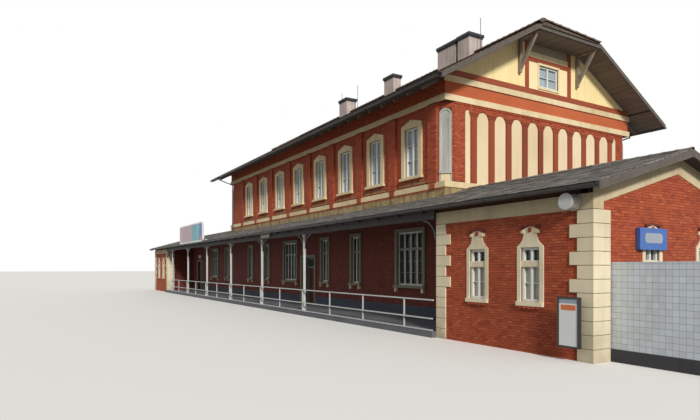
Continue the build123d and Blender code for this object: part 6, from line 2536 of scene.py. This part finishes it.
    def build_drum(self) -> None:
        """Builds the rims and the face of the drum lamp."""
        low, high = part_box("drum_lamp")
        radius = (high.z - low.z) / 2
        x = (low.x + high.x) / 2
        z = (low.z + high.z) / 2
        f = self.yard.finishes
        level = (math.radians(90), 0.0, 0.0)
        rim = turned("drum_rims", [(radius, 0.0), (radius + 0.008, 0.004), (radius + 0.008, 0.016),
                                   (radius, 0.02)], 28)
        places = [(x, y, z) for y in (low.y + 0.018, high.y - 0.004)]
        self.yard.copy_out("drum_lamp_rims", rim, places, [level] * 2, f.grey_metal, "grey_metal")
        disc = turned("drum_lamp_disc", [(0.085, 0.0), (0.085, 0.005)], 28)
        self.yard.copy_out("drum_lamp_disc", disc, [(x, low.y + 0.0125, z)], [level], f.lamp, "sign_face")

    def build_pipes(self) -> None:
        """Runs a downpipe from the ends of the main gutters down their walls."""
        plan = self.yard.plan
        gutter = plan.half_depth + plan.overhang + self.gutter_reach
        wall = plan.half_depth + self.pipe_wall_gap
        top = plan.eave_z - 0.06
        canopy = plan.low_roof(plan.facade_y) + 0.06
        pipes = []
        for sign, foot, x in ((-1, canopy, -self.pipe_x), (1, 0.03, -self.pipe_x), (1, 0.03, self.pipe_x)):
            route = [(x, sign * gutter, top), (x, sign * gutter, top - 0.06), (x, sign * wall, top - 0.24),
                     (x, sign * wall, foot + 0.05), (x, sign * (wall + 0.04), foot)]
            pipes.append(self.tube(f"pipe_{len(pipes)}", route))
        self.yard.show(self.yard.join("downpipes", pipes), "dark_metal")

    def tube(self, name: str, route: Sequence[Sequence[float]]) -> bpy.types.Object:
        """Runs a round tube along a route of straight lengths.

        Args:
            name: Name of the tube.
            route: Its corners.

        Returns:
            The tube as a plain mesh.
        """
        curve = bpy.data.curves.new(name, "CURVE")
        curve.dimensions = "3D"
        curve.bevel_depth = self.pipe_radius
        curve.bevel_resolution = 2
        curve.use_fill_caps = True
        line = curve.splines.new("POLY")
        line.points.add(len(route) - 1)
        for point, place in zip(line.points, route):
            point.co = (*place, 1.0)
        carrier = bpy.data.objects.new(name, curve)
        bpy.context.scene.collection.objects.link(carrier)
        bpy.context.view_layer.update()
        mesh = bpy.data.meshes.new_from_object(carrier.evaluated_get(bpy.context.evaluated_depsgraph_get()))
        bpy.data.objects.remove(carrier)
        mesh.materials.clear()
        mesh.materials.append(self.yard.finishes.dark_metal)
        return bpy.data.objects.new(name, mesh)

    def build_wall_tiles(self) -> None:
        """Builds the square tiles of the yard wall on its two faces, its end and its top."""
        low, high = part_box("yard_wall")
        length = high.x - low.x
        deep = high.y - low.y
        joint = self.tile_joint
        proud = self.tile_proud
        columns = self.cells(length)
        rows = [(low.z + a, low.z + b) for a, b in self.cells(high.z - low.z)]
        face = [slab(a, b, -proud, proud, z0, z1) for a, b in columns for z0, z1 in rows]
        end = [slab(joint, deep - joint, -proud, proud, z0, z1) for z0, z1 in rows]
        top = [slab(a, b, -2 * proud, deep + 2 * proud, high.z - 4 * proud, high.z + 2 * proud)
               for a, b in columns]
        parts = [(Front(low.x, low.y, 0.0), face), (Front(high.x, high.y, 180.0), face),
                 (Front(high.x, low.y, 90.0), end), (Front(low.x, low.y, 0.0), top)]
        self.yard.stack("yard_wall_tiles", parts, self.yard.finishes.white_tile, "white_tiles",
                        self.tile_wander)

    def cells(self, length: float) -> list[Span]:
        """Gives the start and the end of each tile along a length."""
        return [(i * self.tile_pitch + self.tile_joint, (i + 1) * self.tile_pitch)
                for i in range(int(length / self.tile_pitch))]


# The frame's own pieces


def dress_nodes(frame: dict, f: Finishes) -> None:
    """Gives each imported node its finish.

    Args:
        frame: The loaded frame.
        f: The finishes.
    """
    chosen = {
        "arched_panels": f.panel, "attic_floor": f.floor, "belt_course": f.cream,
        "brick_pilasters": f.masonry,
        "canopy_beam": f.eave_boards, "canopy_braces": f.dark_metal, "canopy_lamps": f.lamp,
        "canopy_posts": f.grey_metal, "canopy_roof": f.slates, "canopy_sign": f.sign_white,
        "chimney_caps": f.plinth, "chimney_stacks": f.chimney, "corner_niches": f.niche,
        "cornice_bands": f.cream, "door_frames": f.grey_joinery, "door_lights": f.glass, "drum_lamp": f.drum,
        "gable_boarding": f.yellow, "gable_brackets": f.grey_timber, "gable_timbers": f.russet,
        "ground_floor": f.floor, "gutters": f.dark_metal, "half_hips": f.tiles,
        "lightning_rods": f.dark_metal, "ogee_surrounds": f.quoin, "platform_roof_slope": f.tiles,
        "poster_case": f.dark_metal, "quoin_piers": f.quoin, "small_signs": f.sign_boxes,
        "street_door_leaves": f.door, "street_roof_slope": f.tiles, "upper_floor": f.floor,
        "veranda_floor": f.concrete, "veranda_railing": f.grey_metal, "verge_boards": f.verge,
        "window_frames": f.joinery, "window_panes": f.glass, "window_surrounds": f.surround,
        "wing_eave_bands": f.eave_band, "wing_floors": f.floor, "wing_roof_platform_slopes": f.slates,
        "wing_roof_street_slopes": f.slates, "yard_wall": f.grout, "yard_wall_plinth": f.plinth,
    }
    for name, node in frame["nodes"].items():
        material = chosen.get(name)
        if material is None:
            material = f.door if name.endswith("leaf") else f.masonry
        node.data.materials.clear()
        node.data.materials.append(material)
        LOG.info("%s wears %s", name, material.name)


# Stage


@dataclass
class Stage:
    """Floor, light and camera round the building."""

    eye: tuple[float, float, float] = (14.69, -10.085, 1.1475)
    turn: float = 59.2
    lens: float = 28.01
    shift: float = 0.083
    sun: tuple[float, float, float] = (0.82, -0.27, 0.44)
    sun_strength: float = 3.0
    sun_angle: float = 9.0
    sun_colour: tuple[float, float, float] = (1.0, 0.96, 0.9)
    sky_strength: float = 0.46
    floor_size: float = 400.0
    floor_seen: Colour = tint(236, 236, 234)
    floor_thrown: Colour = tint(140, 138, 134)
    sensor: float = 36.0
    farthest: float = 500.0

    def build(self) -> None:
        """Builds the stage."""
        self.build_floor()
        self.build_light()
        self.build_camera()

    def build_floor(self) -> None:
        """Lays a plain floor that looks pale but throws little light back."""
        half = self.floor_size / 2
        corners = [(-half, -half, 0.0), (half, -half, 0.0), (half, half, 0.0), (-half, half, 0.0)]
        g = Graph("stage_floor")
        pale = g.node("ShaderNodeBsdfDiffuse", sockets={0: self.floor_seen})
        dim = g.node("ShaderNodeBsdfDiffuse", sockets={0: self.floor_thrown})
        mixed = g.node("ShaderNodeMixShader", sockets={0: g.plain_ray(), 1: dim, 2: pale})
        g.node("ShaderNodeOutputMaterial", sockets={0: mixed})
        floor = solid("floor", corners, [[0, 1, 2, 3]], g.material)
        bpy.context.scene.collection.objects.link(floor)

    def build_light(self) -> None:
        """Makes one soft sun and a pale sky that looks white."""
        lamp = bpy.data.lights.new("soft_sun", "SUN")
        lamp.energy = self.sun_strength
        lamp.angle = math.radians(self.sun_angle)
        lamp.color = self.sun_colour
        carrier = bpy.data.objects.new("soft_sun", lamp)
        carrier.rotation_euler = Vector(self.sun).to_track_quat("Z", "Y").to_euler()
        bpy.context.scene.collection.objects.link(carrier)
        world = bpy.data.worlds.new("pale_sky")
        world.use_nodes = True
        sky = Tree(world.node_tree)
        strength = sky.node("ShaderNodeMapRange", sockets={0: sky.plain_ray(), 3: self.sky_strength, 4: 1.0})
        back = sky.node("ShaderNodeBackground", sockets={0: (1.0, 1.0, 1.0, 1.0), 1: strength})
        sky.node("ShaderNodeOutputWorld", sockets={0: back})
        bpy.context.scene.world = world

    def build_camera(self) -> None:
        """Stands the camera where the photograph was taken from."""
        data = bpy.data.cameras.new("eye")
        data.lens = self.lens
        data.sensor_width = self.sensor
        data.shift_y = self.shift
        data.clip_end = self.farthest
        camera = bpy.data.objects.new("eye", data)
        camera.location = self.eye
        camera.rotation_euler = (math.radians(90), 0.0, math.radians(self.turn))
        bpy.context.scene.collection.objects.link(camera)
        bpy.context.scene.camera = camera


def main() -> None:
    """Dresses the station piece by piece."""
    logging.basicConfig(level=logging.INFO, format="%(message)s")
    bpy.ops.wm.read_factory_settings(use_empty=True)
    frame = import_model()
    plan = Plan()
    yard = Yard(plan, Finishes(plan))
    dress_nodes(frame, yard.finishes)
    BrickSkin(yard).build()
    WallOrnament(yard).build()
    roof = TiledRoof(yard)
    roof.build()
    Eaves(yard).build(roof)
    GableDressing(yard).build()
    Windows(yard).build()
    Doors(yard).build()
    Fittings(yard).build()
    Stage().build()
    bpy.context.scene.view_settings.view_transform = "Standard"


if __name__ == "__main__":
    main()
